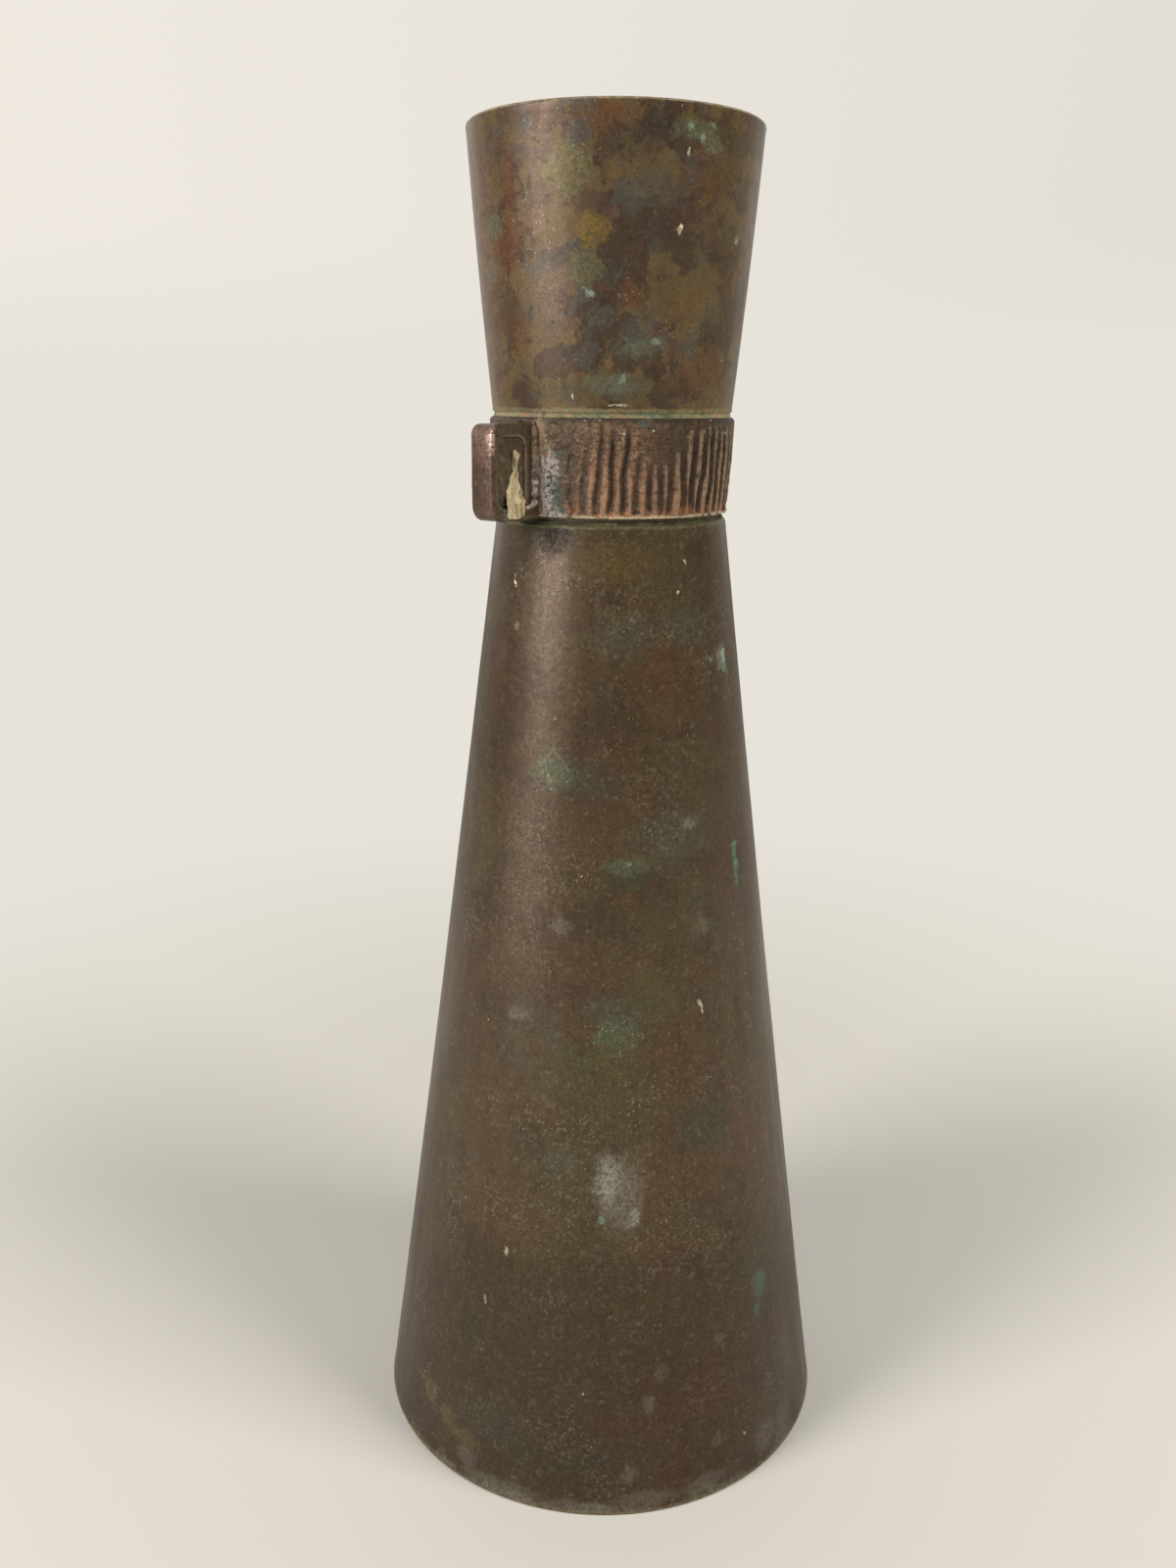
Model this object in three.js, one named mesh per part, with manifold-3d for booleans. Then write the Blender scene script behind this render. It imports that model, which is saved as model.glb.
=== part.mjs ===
// A tall cast-copper flower vase with one ear, in millimetres, +Z up, its axis on Z and its foot on z = 0.
// Two open conical shells meet at a ribbed waist band. The band is a coupling: each shell has a thin spigot that
// enters it, and both spigots stop against a web inside the band. Braze closes the seams above and below the band,
// a fillet of braze stands on each side of the ear's tenon joint, and a disc soldered into a rebate in the foot is
// the floor. The ear points to -X, and its near cheek, with the front fillet, faces -Y.
import * as THREE from "three";
import { mergeVertices } from "three/addons/utils/BufferGeometryUtils.js";
import Module from "manifold-3d";

// Heights, from the foot upwards
const BODY_HEIGHT = 220.8; // foot to the shoulder under the band
const SHADOW_GAP = 1.4; // open groove between that shoulder and the band
const BAND_HEIGHT = 19.9;
const SEAM_HEIGHT = 1.1; // brazed seam between the band and the neck
const NECK_HEIGHT = 56.8;

// Radii and walls
const FOOT_RADIUS = 54.7;
const SHOULDER_RADIUS = 25.4; // top of the lower body
const BODY_HOLLOW = 0.4; // how far the body's side dips inside a straight cone
const BODY_WALL = 2.4;
const NECK_STEP = 0.6; // how much wider the neck starts than the shoulder
const MOUTH_RADIUS = 31.1;
const NECK_BULGE = 0.2; // how far the neck's side swells outside a straight cone
const MOUTH_WALL = 2.2;
const LIP_ROUND = 0.9; // rounding of the mouth's outer and inner edge
const SHOULDER_CHAMFER = 0.5;
const SEAM_SETBACK = 0.3; // seam's face inside the neck's lower edge

// Waist joint
const SPIGOT_WALL = 1;
const SPIGOT_CLEARANCE = 0.15;
const WEB_HEIGHT = 3; // web inside the band, between the two spigots

// Foot and floor
const FOOT_ROUND = 0.6;
const FOOT_RECESS = 3; // floor plate's underside above the foot
const PLATE_THICKNESS = 2;
const LEDGE_WIDTH = 1; // ledge in the body that the floor plate bears on
const PLATE_CLEARANCE = 0.2;
const SOLDER_LEG = 1.6; // solder fillet's width and height

// Ribbed band
const BAND_PROUD = 0.2; // rib crests outside the shoulder, at the band's lower edge
const BAND_FLARE = 1.2; // how much wider the crests are at the band's upper edge
const BAND_LIP = 0.3; // thin cast lip that stands out along the lower edge
const BAND_LIP_HEIGHT = 0.9;
const BAND_CHAMFER = 0.6; // slope round the band's upper edge
const RIB_DEPTH = 0.7;
const RIB_COUNT = 51;
const RIB_LEAN = 0.6; // rib pitches that a rib leans over its height
const PLAIN_ARC = 54; // degrees round the ear that have no ribs

// Ear, a flat block standing out from the band, with a pocket sunk into each cheek
const EAR_REACH = 11.9; // out from the band's surface
const EAR_THICKNESS = 6.5;
const EAR_HEIGHT = 19.4;
const EAR_DROP = 0.7; // ear's lower edge below the band's
const EAR_CORNER_ROUND = 2.5;
const EAR_EDGE_ROUND = 0.6;
const POCKET_DEPTH = 1.4;
const POCKET_ROUND = 2;
const POCKET_RIM = 2.6; // cheek left standing over, under and behind the pocket
const POCKET_END_RIM = 1.9; // cheek left standing at the ear's outer end
const TENON_WIDTH = 3;
const TENON_HEIGHT = 10;
const TENON_CLEARANCE = 0.15;
const EAR_SEAT_GAP = 0.3; // between the band's surface and the ear's root
const FILLET_LEG = 1.3; // braze beside the ear, measured along the cheek and along the band
const FILLET_GAP = 0.1; // between the braze and the cheek

const TURN = 2 * Math.PI;
const ROUND_SEGMENTS = 72;

// Levels and radii that follow from the sizes above
const bandBottom = BODY_HEIGHT + SHADOW_GAP;
const bandTop = bandBottom + BAND_HEIGHT;
const neckBottom = bandTop + SEAM_HEIGHT;
const mouthLevel = neckBottom + NECK_HEIGHT;
const webBottom = bandBottom + (BAND_HEIGHT - WEB_HEIGHT) / 2;
const webTop = webBottom + WEB_HEIGHT;
const boreRadius = SHOULDER_RADIUS - BODY_WALL;
const spigotRadius = boreRadius + SPIGOT_WALL;
const socketRadius = spigotRadius + SPIGOT_CLEARANCE;
const neckRadius = SHOULDER_RADIUS + NECK_STEP;
const ledgeLevel = FOOT_RECESS + PLATE_THICKNESS;

const wasm = await Module();
wasm.setup();

function solid(geometry) {
  const bare = geometry.index ? geometry.toNonIndexed() : geometry.clone();
  bare.deleteAttribute("normal");
  bare.deleteAttribute("uv");
  const merged = mergeVertices(bare, 1e-4);
  return new wasm.Manifold(
    new wasm.Mesh({
      numProp: 3,
      vertProperties: merged.attributes.position.array,
      triVerts: new Uint32Array(merged.index.array),
    }),
  );
}

function geometryOf(manifold) {
  const { vertProperties, triVerts } = manifold.getMesh();
  const geometry = new THREE.BufferGeometry();
  geometry.setAttribute("position", new THREE.BufferAttribute(vertProperties, 3));
  geometry.setIndex(new THREE.BufferAttribute(triVerts, 1));
  geometry.computeVertexNormals();
  return geometry;
}

// Turns a closed outline of [radius, height] points round Z.
function revolve(outline) {
  const points = outline.map(([radius, height]) => new THREE.Vector2(radius, height));
  return new THREE.LatheGeometry(points, ROUND_SEGMENTS).rotateX(Math.PI / 2);
}

// Points of a quarter round about [centreRadius, centreHeight], from one angle to the other in quarter turns.
function roundedCorner(centreRadius, centreHeight, round, fromQuarter, toQuarter, steps = 3) {
  return Array.from({ length: steps + 1 }, (_, i) => {
    const angle = ((fromQuarter + ((toQuarter - fromQuarter) * i) / steps) * Math.PI) / 2;
    return [centreRadius + round * Math.cos(angle), centreHeight + round * Math.sin(angle)];
  });
}

// Outer radius of the lower body, which tapers from the foot to the shoulder with a slight hollow.
function bodyRadius(height) {
  const share = height / BODY_HEIGHT;
  const straight = THREE.MathUtils.lerp(FOOT_RADIUS, SHOULDER_RADIUS, share);
  return straight - 4 * BODY_HOLLOW * share * (1 - share);
}

// Outer radius of the neck, which flares from the seam to the mouth with a slight swell.
function neckOuter(height) {
  const share = (height - neckBottom) / NECK_HEIGHT;
  const straight = THREE.MathUtils.lerp(neckRadius, MOUTH_RADIUS, share);
  return straight + 4 * NECK_BULGE * share * (1 - share);
}

function neckInner(height) {
  const share = (height - neckBottom) / NECK_HEIGHT;
  const wall = THREE.MathUtils.lerp(neckRadius - boreRadius, MOUTH_WALL, Math.sqrt(share));
  return neckOuter(height) - wall;
}

const shares = (count) => Array.from({ length: count }, (_, i) => (i + 1) / (count + 1));

function lowerBody() {
  const rebateRadius = bodyRadius(ledgeLevel) - BODY_WALL + LEDGE_WIDTH;
  const sides = shares(4).map((share) => share * BODY_HEIGHT);
  const chamfer = Math.min(SHOULDER_CHAMFER, (SHOULDER_RADIUS - spigotRadius) / 2);
  const shoulder = BODY_HEIGHT - chamfer;
  return revolve([
    [rebateRadius, 0],
    ...roundedCorner(FOOT_RADIUS - FOOT_ROUND, FOOT_ROUND, FOOT_ROUND, -1, 0),
    ...sides.map((height) => [bodyRadius(height), height]),
    [bodyRadius(shoulder), shoulder],
    [SHOULDER_RADIUS - chamfer, BODY_HEIGHT],
    [spigotRadius, BODY_HEIGHT],
    [spigotRadius, webBottom],
    [boreRadius, webBottom],
    [boreRadius, BODY_HEIGHT],
    ...sides.reverse().map((height) => [bodyRadius(height) - BODY_WALL, height]),
    [bodyRadius(ledgeLevel) - BODY_WALL, ledgeLevel],
    [rebateRadius, ledgeLevel],
    [rebateRadius, 0],
  ]);
}

function upperNeck() {
  const sides = shares(3).map((share) => neckBottom + share * NECK_HEIGHT);
  const lipLevel = mouthLevel - LIP_ROUND;
  return revolve([
    [spigotRadius, webTop],
    [spigotRadius, neckBottom],
    [neckRadius, neckBottom],
    ...sides.map((height) => [neckOuter(height), height]),
    ...roundedCorner(MOUTH_RADIUS - LIP_ROUND, lipLevel, LIP_ROUND, 0, 1),
    ...roundedCorner(MOUTH_RADIUS - MOUTH_WALL + LIP_ROUND, lipLevel, LIP_ROUND, 1, 2),
    ...sides.reverse().map((height) => [neckInner(height), height]),
    [boreRadius, neckBottom],
    [boreRadius, webTop],
    [spigotRadius, webTop],
  ]);
}

// The floor is a flat disc pushed up into the foot's rebate against its ledge.
function basePlate() {
  const radius = bodyRadius(ledgeLevel) - BODY_WALL + LEDGE_WIDTH - PLATE_CLEARANCE;
  return revolve([
    [0, FOOT_RECESS],
    [radius, FOOT_RECESS],
    [radius, ledgeLevel],
    [0, ledgeLevel],
  ]);
}

// A fillet of solder in the corner between the floor's underside and the foot.
function baseSolder() {
  const outer = bodyRadius(ledgeLevel) - BODY_WALL + LEDGE_WIDTH - PLATE_CLEARANCE / 2;
  const leg = Math.min(SOLDER_LEG, 0.8 * FOOT_RECESS);
  return revolve([
    [outer, FOOT_RECESS - leg],
    [outer, FOOT_RECESS],
    [outer - leg, FOOT_RECESS],
    [outer - 0.35 * leg, FOOT_RECESS - 0.35 * leg],
    [outer, FOOT_RECESS - leg],
  ]);
}

// Braze that closes the seam over the band, set a little back from both faces.
function neckBraze() {
  const face = Math.min(neckRadius, bandRadius(bandTop) - BAND_CHAMFER) - SEAM_SETBACK;
  return revolve([
    [socketRadius, bandTop],
    [face, bandTop],
    [face - 0.25 * SEAM_HEIGHT, (bandTop + neckBottom) / 2],
    [face, neckBottom],
    [socketRadius, neckBottom],
    [socketRadius, bandTop],
  ]);
}

// Braze that ran out under the band and lies as a small fillet on the shoulder.
function waistBraze() {
  const inner = spigotRadius + SPIGOT_CLEARANCE / 3;
  const leg = Math.min(SHADOW_GAP, SHOULDER_RADIUS - spigotRadius) / 2;
  return revolve([
    [inner, BODY_HEIGHT],
    [inner + leg, BODY_HEIGHT],
    [inner + 0.35 * leg, BODY_HEIGHT + 0.35 * leg],
    [inner, BODY_HEIGHT + leg],
    [inner, BODY_HEIGHT],
  ]);
}

// Radius of the rib crests, which widen towards the band's upper edge.
function bandRadius(height) {
  const share = (height - bandBottom) / BAND_HEIGHT;
  return SHOULDER_RADIUS + BAND_PROUD + BAND_FLARE * Math.sin((share * Math.PI) / 2);
}

// How deep the tooling cuts below the crests at an angle and height: hand-cut ribs that lean and sway a little,
// fading out near the plain arc round the ear and near the band's edges.
function toolingDepth(angle, height) {
  const fromEar = Math.abs(THREE.MathUtils.euclideanModulo(angle, TURN) - Math.PI);
  const plainHalf = THREE.MathUtils.degToRad(PLAIN_ARC / 2);
  const share = (height - bandBottom) / BAND_HEIGHT;
  const pitch = (TURN - 2 * plainHalf) / RIB_COUNT;
  const sway = 0.35 * Math.sin(3 * angle + 1.7 * share) + 0.3 * Math.sin(7 * angle - 2.4 * share);
  const across = angle / pitch + sway - RIB_LEAN * share;
  const valley = (0.5 - 0.5 * Math.cos(TURN * across)) ** 1.5;
  const strength = 0.75 + 0.25 * Math.sin(5 * angle + 2);
  const besideEar = THREE.MathUtils.smoothstep(fromEar, plainHalf, plainHalf + pitch);
  const atTop = THREE.MathUtils.smoothstep(1 - share, 0.02, 0.25);
  const atLip = THREE.MathUtils.smoothstep(share, 0.02, 0.1);
  return RIB_DEPTH * valley * strength * besideEar * atTop * atLip;
}

// The angles that the band's surface is cut at: six to a rib, and evenly over the plain arc. The ear is at half a turn.
function bandAngles() {
  const plainHalf = THREE.MathUtils.degToRad(PLAIN_ARC / 2);
  const ribSteps = RIB_COUNT * 6;
  const plainSteps = Math.max(8, Math.round(PLAIN_ARC / 3));
  const ribbed = Array.from({ length: ribSteps }, (_, i) => {
    return -Math.PI + plainHalf + ((TURN - 2 * plainHalf) * i) / ribSteps;
  });
  const plain = Array.from({ length: plainSteps }, (_, i) => Math.PI - plainHalf + (2 * plainHalf * i) / plainSteps);
  return [...ribbed, ...plain];
}

// A closed drum whose side follows surface(angle, height).
function drum(angles, heights, surface) {
  const count = angles.length;
  const positions = heights.flatMap((height) =>
    angles.flatMap((angle) => {
      const radius = surface(angle, height);
      return [radius * Math.cos(angle), radius * Math.sin(angle), height];
    }),
  );
  positions.push(0, 0, heights[0], 0, 0, heights[heights.length - 1]);
  const bottomCentre = heights.length * count;
  const topCentre = bottomCentre + 1;
  const lastRow = (heights.length - 1) * count;
  const index = [];
  for (let i = 0; i < count; i++) {
    const next = (i + 1) % count;
    index.push(bottomCentre, next, i);
    index.push(topCentre, lastRow + i, lastRow + next);
    for (let row = 0; row < lastRow; row += count) {
      index.push(row + i, row + next, row + count + next);
      index.push(row + i, row + count + next, row + count + i);
    }
  }
  const geometry = new THREE.BufferGeometry();
  geometry.setAttribute("position", new THREE.Float32BufferAttribute(positions, 3));
  return geometry.setIndex(index);
}

// A block centred on y = 0 that reaches from one radius to another on the ear's side of the axis.
function earBlock(fromRadius, toRadius, thickness, lowLevel, highLevel) {
  const block = new THREE.BoxGeometry(toRadius - fromRadius, thickness, highLevel - lowLevel);
  return solid(block.translate(-(fromRadius + toRadius) / 2, 0, (lowLevel + highLevel) / 2));
}

const earBottom = bandBottom - EAR_DROP;
const earMiddle = earBottom + EAR_HEIGHT / 2;
const rootRadius = bandRadius(earMiddle);
const earEnd = rootRadius + EAR_REACH;

function waistBand() {
  const lipTop = bandBottom + BAND_LIP_HEIGHT;
  const chamferStart = bandTop - BAND_CHAMFER;
  const heights = [bandBottom, lipTop, ...[0.2, 0.45, 0.7, 0.88].map((s) => lipTop + s * (chamferStart - lipTop))];
  const surface = (angle, height) => {
    if (height >= bandTop) return bandRadius(bandTop) - BAND_CHAMFER;
    const lip = height <= bandBottom ? BAND_LIP : 0;
    return bandRadius(height) + lip - toolingDepth(angle, height);
  };
  const outside = solid(drum(bandAngles(), [...heights, chamferStart, bandTop], surface));
  const bore = solid(
    revolve([
      [0, bandBottom - 1],
      [socketRadius, bandBottom - 1],
      [socketRadius, webBottom],
      [boreRadius, webBottom],
      [boreRadius, webTop],
      [socketRadius, webTop],
      [socketRadius, bandTop + 1],
      [0, bandTop + 1],
    ]),
  );
  const slack = TENON_CLEARANCE;
  const mortise = earBlock(
    spigotRadius,
    earEnd,
    TENON_WIDTH + 2 * slack,
    earMiddle - TENON_HEIGHT / 2 - slack,
    earMiddle + TENON_HEIGHT / 2 + slack,
  );
  return geometryOf(outside.subtract(bore).subtract(mortise));
}

// An upright rectangle whose outer corners, and inner ones where asked, are rounded.
function uprightOutline(inner, outer, low, high, round, innerRound = 0) {
  const shape = new THREE.Shape();
  shape.moveTo(inner + innerRound, low);
  shape.lineTo(outer - round, low);
  shape.absarc(outer - round, low + round, round, -Math.PI / 2, 0, false);
  shape.lineTo(outer, high - round);
  shape.absarc(outer - round, high - round, round, 0, Math.PI / 2, false);
  shape.lineTo(inner + innerRound, high);
  if (innerRound > 0) {
    shape.absarc(inner + innerRound, high - innerRound, innerRound, Math.PI / 2, Math.PI, false);
    shape.lineTo(inner, low + innerRound);
    shape.absarc(inner + innerRound, low + innerRound, innerRound, Math.PI, 1.5 * Math.PI, false);
  }
  return shape;
}

// Extrudes an upright outline to a thickness centred on the ear's middle plane, shifted sideways by offset.
function earSlab(shape, thickness, edgeRound, offset = 0) {
  const slab = new THREE.ExtrudeGeometry(shape, {
    depth: thickness - 2 * edgeRound,
    bevelEnabled: edgeRound > 0,
    bevelThickness: edgeRound,
    bevelSize: edgeRound,
    bevelOffset: -edgeRound,
    bevelSegments: 2,
    curveSegments: 5,
  });
  slab.translate(0, 0, edgeRound - thickness / 2 + offset);
  // The outline's x is the distance from the axis and its y the height; the ear stands on the -X side.
  slab.rotateX(Math.PI / 2);
  slab.rotateZ(Math.PI);
  return solid(slab);
}

// The space that the band fills beside the ear, grown by a gap.
function bandSpace(gap) {
  const heights = [earBottom - 1, bandBottom, earMiddle, bandTop, bandTop + 1];
  return solid(
    drum(bandAngles(), heights, (_, height) => {
      return bandRadius(THREE.MathUtils.clamp(height, bandBottom, bandTop)) + BAND_LIP + gap;
    }),
  );
}

function ear() {
  const earTop = earBottom + EAR_HEIGHT;
  const outline = uprightOutline(boreRadius, earEnd, earBottom, earTop, EAR_CORNER_ROUND);
  const pocket = uprightOutline(
    rootRadius + POCKET_RIM,
    earEnd - POCKET_END_RIM,
    earBottom + POCKET_RIM,
    earTop - POCKET_RIM,
    POCKET_ROUND,
    POCKET_ROUND,
  );
  let block = earSlab(outline, EAR_THICKNESS, EAR_EDGE_ROUND).subtract(bandSpace(EAR_SEAT_GAP));
  for (const side of [-1, 1]) {
    block = block.subtract(earSlab(pocket, 2 * POCKET_DEPTH, 0, (side * EAR_THICKNESS) / 2));
  }
  const tenon = earBlock(
    socketRadius,
    rootRadius + POCKET_RIM / 2,
    TENON_WIDTH,
    earMiddle - TENON_HEIGHT / 2,
    earMiddle + TENON_HEIGHT / 2,
  );
  return geometryOf(block.add(tenon));
}

// A fillet of braze in the corner between the ear's cheek and the band, on the side of -Y (-1) or +Y (1).
function earBraze(side) {
  const cheek = EAR_THICKNESS / 2 + FILLET_GAP;
  const section = new THREE.Shape();
  section.moveTo(0, 0);
  section.lineTo(rootRadius + BAND_LIP + FILLET_LEG, 0);
  section.lineTo(rootRadius + BAND_LIP + 0.35 * FILLET_LEG, 0.35 * FILLET_LEG);
  section.lineTo(rootRadius + BAND_LIP, FILLET_LEG);
  section.lineTo(0, FILLET_LEG);
  section.closePath();
  const low = bandBottom + BAND_LIP_HEIGHT;
  const high = bandTop - BAND_CHAMFER;
  const bar = new THREE.ExtrudeGeometry(section, { depth: high - low, bevelEnabled: false });
  bar.translate(0, cheek, low).rotateZ(Math.PI);
  const fillet = solid(bar).subtract(bandSpace(FILLET_GAP));
  return geometryOf(side < 0 ? fillet : fillet.mirror([0, 1, 0]));
}

const copper = new THREE.MeshStandardMaterial({ color: 0x54432f, roughness: 0.42, metalness: 0.85 });
const castCopper = new THREE.MeshStandardMaterial({ color: 0x6b4e3b, roughness: 0.6, metalness: 0.7 });
const plateCopper = new THREE.MeshStandardMaterial({ color: 0x5c4a34, roughness: 0.6, metalness: 0.8 });
const braze = new THREE.MeshStandardMaterial({ color: 0x8a8566, roughness: 0.75, metalness: 0.2 });
const solder = new THREE.MeshStandardMaterial({ color: 0x6d6c66, roughness: 0.6, metalness: 0.6 });

const vase = new THREE.Group();
const pieces = {
  lower_body: [lowerBody(), copper],
  upper_neck: [upperNeck(), copper],
  waist_band: [waistBand(), castCopper],
  ear: [ear(), castCopper],
  ear_braze_front: [earBraze(-1), braze],
  ear_braze_back: [earBraze(1), braze],
  base_plate: [basePlate(), plateCopper],
  base_solder: [baseSolder(), solder],
  waist_braze: [waistBraze(), braze],
  neck_braze: [neckBraze(), braze],
};
for (const [name, [geometry, material]] of Object.entries(pieces)) {
  const mesh = new THREE.Mesh(geometry, material);
  mesh.name = name;
  vase.add(mesh);
}

export default vase;
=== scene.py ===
# %% [markdown]
# A copper flower vase with one ear
# A tall open cone of copper stands on its wide foot, and a short flared neck stands on that. A ribbed cast
# band hides the joint between them and carries a small flat ear. The metal is old and has been coloured by
# hand, so it is brown rather than copper-pink, with olive clouds, flecks and a little green where damp has
# sat on it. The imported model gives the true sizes. This script dresses each of its nodes with a finer mesh
# and a finish.

# %% Load the frame
import math

import bmesh
import bpy
import numpy as np
from mathutils import Matrix, Vector, noise


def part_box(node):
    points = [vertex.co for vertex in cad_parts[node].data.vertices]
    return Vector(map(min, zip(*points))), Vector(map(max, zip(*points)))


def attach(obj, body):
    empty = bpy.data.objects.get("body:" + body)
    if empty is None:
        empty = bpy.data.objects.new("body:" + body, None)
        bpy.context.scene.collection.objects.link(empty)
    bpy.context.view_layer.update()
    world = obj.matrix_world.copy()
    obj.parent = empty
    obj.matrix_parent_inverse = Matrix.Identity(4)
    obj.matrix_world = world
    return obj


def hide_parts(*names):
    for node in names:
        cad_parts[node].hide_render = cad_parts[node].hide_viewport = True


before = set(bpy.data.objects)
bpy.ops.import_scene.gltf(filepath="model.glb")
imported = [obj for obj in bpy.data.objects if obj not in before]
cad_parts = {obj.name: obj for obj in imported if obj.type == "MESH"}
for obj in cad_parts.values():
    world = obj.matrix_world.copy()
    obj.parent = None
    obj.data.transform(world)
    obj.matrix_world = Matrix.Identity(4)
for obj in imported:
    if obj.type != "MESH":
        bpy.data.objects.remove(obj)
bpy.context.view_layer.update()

mm = 0.001
print("packed nodes:", ", ".join(sorted(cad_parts)))

# %% [markdown]
# The camera
# The photograph was taken from a little above the vase's shoulder, on the side between the ear and its near
# cheek. The place and tilt below come from the vase's own outline in the picture, which is 1200 by 1600
# pixels. In a tall picture the sensor's 36 mm is the long side, so the focal length in pixels turns
# straight into a lens.

# %% Camera
PICTURE_HEIGHT = 1600  # pixels
FOCAL_PIXELS = 1388.4
SENSOR = 36  # mm, the long side
VIEW_TURN = -46.5  # degrees round Z from looking along +Y
CAMERA_DISTANCE = 308.1 * mm  # from the vase's axis
CAMERA_HEIGHT = 246.3 * mm
LOOK_DOWN = 15.90  # degrees
LOOK_ASIDE = 0.854  # degrees to the right of the axis
ROLL = 0.474  # degrees

camera_data = bpy.data.cameras.new("camera")
camera_data.sensor_width = SENSOR
camera_data.lens = SENSOR * FOCAL_PIXELS / PICTURE_HEIGHT
camera = bpy.data.objects.new("camera", camera_data)
turn = Matrix.Rotation(math.radians(VIEW_TURN), 4, "Z")
aside = Matrix.Rotation(math.radians(LOOK_ASIDE), 4, "Z")
tilt = Matrix.Rotation(math.radians(90 - LOOK_DOWN), 4, "X")
roll = Matrix.Rotation(math.radians(ROLL), 4, "Z")
place = Matrix.Translation(turn @ Vector((0, -CAMERA_DISTANCE, CAMERA_HEIGHT)))
camera.matrix_world = place @ turn @ aside @ tilt @ roll
bpy.context.scene.collection.objects.link(camera)
bpy.context.scene.camera = camera
print("lens:", round(camera_data.lens, 2), "mm, camera at", [round(x, 3) for x in camera.location])

# %% [markdown]
# Three small helpers
# Every finish below is a tree of shader nodes. A paint chip is easiest to write as a hex value, but shaders
# count in linear light, so one function turns the one into the other. Another function adds one node, sets
# it up and links it, and nothing else is needed to build a tree. The third starts a material.

# %% Colour and node helpers
def linear(hex_colour):
    """The linear colour of an sRGB hex value, with full alpha."""
    channels = [int(hex_colour[i : i + 2], 16) / 255 for i in (1, 3, 5)]
    return *(c / 12.92 if c <= 0.04045 else ((c + 0.055) / 1.055) ** 2.4 for c in channels), 1.0


def add(tree, kind, inputs=None, **settings):
    """Adds a node. A socket of another node is linked to the input, a hex colour is turned to linear light,
    and anything else becomes the input's value."""
    node = tree.nodes.new(kind)
    for name, value in settings.items():
        setattr(node, name, value)
    for key, value in (inputs or {}).items():
        if isinstance(value, bpy.types.NodeSocket):
            tree.links.new(value, node.inputs[key])
        else:
            node.inputs[key].default_value = linear(value) if isinstance(value, str) else value
    return node


def new_material(name):
    """An empty node material, its tree, and the Object coordinates that its patterns follow."""
    material = bpy.data.materials.new(name)
    material.use_nodes = True
    material.node_tree.nodes.clear()
    coordinates = add(material.node_tree, "ShaderNodeTexCoord")
    return material, material.node_tree, coordinates.outputs["Object"]


# %% [markdown]
# Light
# The vase stood in front of a pale sheet in a room. Its sides tell where the light was: a broad soft
# highlight on the left, dark metal in front where the room was dim, and bright thin edges where it mirrors
# the sheet behind. Large soft lights stand left and right and a third hangs above. Only the left one shows
# as a highlight.

# %% Lights
MID_HEIGHT = 150 * mm


def round_the_vase(angle, distance, height):
    """A point at an angle round the vase, counted from the camera and positive to the picture's right."""
    direction = math.radians(VIEW_TURN - 90 + angle)
    return Vector((distance * math.cos(direction), distance * math.sin(direction), height))


def soft_light(name, angle, distance, height, width, length, watts, colour, mirrored):
    """A rectangular light that faces the middle of the vase."""
    data = bpy.data.lights.new(name, "AREA")
    data.shape = "RECTANGLE"
    data.size = width
    data.size_y = length
    data.energy = watts
    data.color = linear(colour)[:3]
    light = bpy.data.objects.new(name, data)
    light.location = round_the_vase(angle, distance, height)
    aim = Vector((0, 0, MID_HEIGHT)) - light.location
    light.rotation_euler = aim.to_track_quat("-Z", "Y").to_euler()
    light.visible_camera = False
    light.visible_glossy = mirrored
    bpy.context.scene.collection.objects.link(light)


soft_light("left_softbox", -56, 0.95, 0.62, 0.40, 0.80, 12.0, "#fffdf9", mirrored=True)
soft_light("right_softbox", 62, 1.0, 0.75, 0.6, 0.6, 13.0, "#fffdfa", mirrored=False)
soft_light("top_light", 10, 0.25, 1.5, 1.2, 1.2, 3.0, "#ffffff", mirrored=False)

# %% [markdown]
# The room
# The world is two things at once. To the camera it is the pale sheet, a little darker on the right. To the
# metal it is a room that is bright behind the vase and dim behind the camera, which gives the bright edges
# and dark front.

# %% World
PALE = "#e8e3da"  # the sheet at the floor's edge
DIM_FRONT = 0.17
BRIGHT_BACK = 1.05
LEFT_POWER = 1.15
RIGHT_POWER = 0.8

world = bpy.data.worlds.new("studio")
bpy.context.scene.world = world
world.use_nodes = True
sky = world.node_tree
sky.nodes.clear()
where = add(sky, "ShaderNodeTexCoord").outputs["Generated"]
backward = {0: where, 1: round_the_vase(180, 1, 0)}
facing = add(sky, "ShaderNodeVectorMath", backward, operation="DOT_PRODUCT").outputs["Value"]
room_glow = {"Value": facing, "From Min": 0.2, "From Max": 0.85, "To Min": DIM_FRONT, "To Max": BRIGHT_BACK}
glow = add(sky, "ShaderNodeMapRange", room_glow, interpolation_type="SMOOTHSTEP").outputs["Result"]
rightward = {0: where, 1: round_the_vase(90, 1, 0)}
sideways = add(sky, "ShaderNodeVectorMath", rightward, operation="DOT_PRODUCT").outputs["Value"]
left_to_right = {"Value": sideways, "From Min": -0.5, "From Max": 0.5}
shade = add(sky, "ShaderNodeMapRange", left_to_right).outputs["Result"]
side = add(sky, "ShaderNodeMapRange", {"Value": shade, "To Min": LEFT_POWER, "To Max": RIGHT_POWER})
power = add(sky, "ShaderNodeMath", {0: glow, 1: side.outputs["Result"]}, operation="MULTIPLY").outputs[0]
room = add(sky, "ShaderNodeBackground", {"Color": "#f8f6f2", "Strength": power}).outputs[0]

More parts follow.
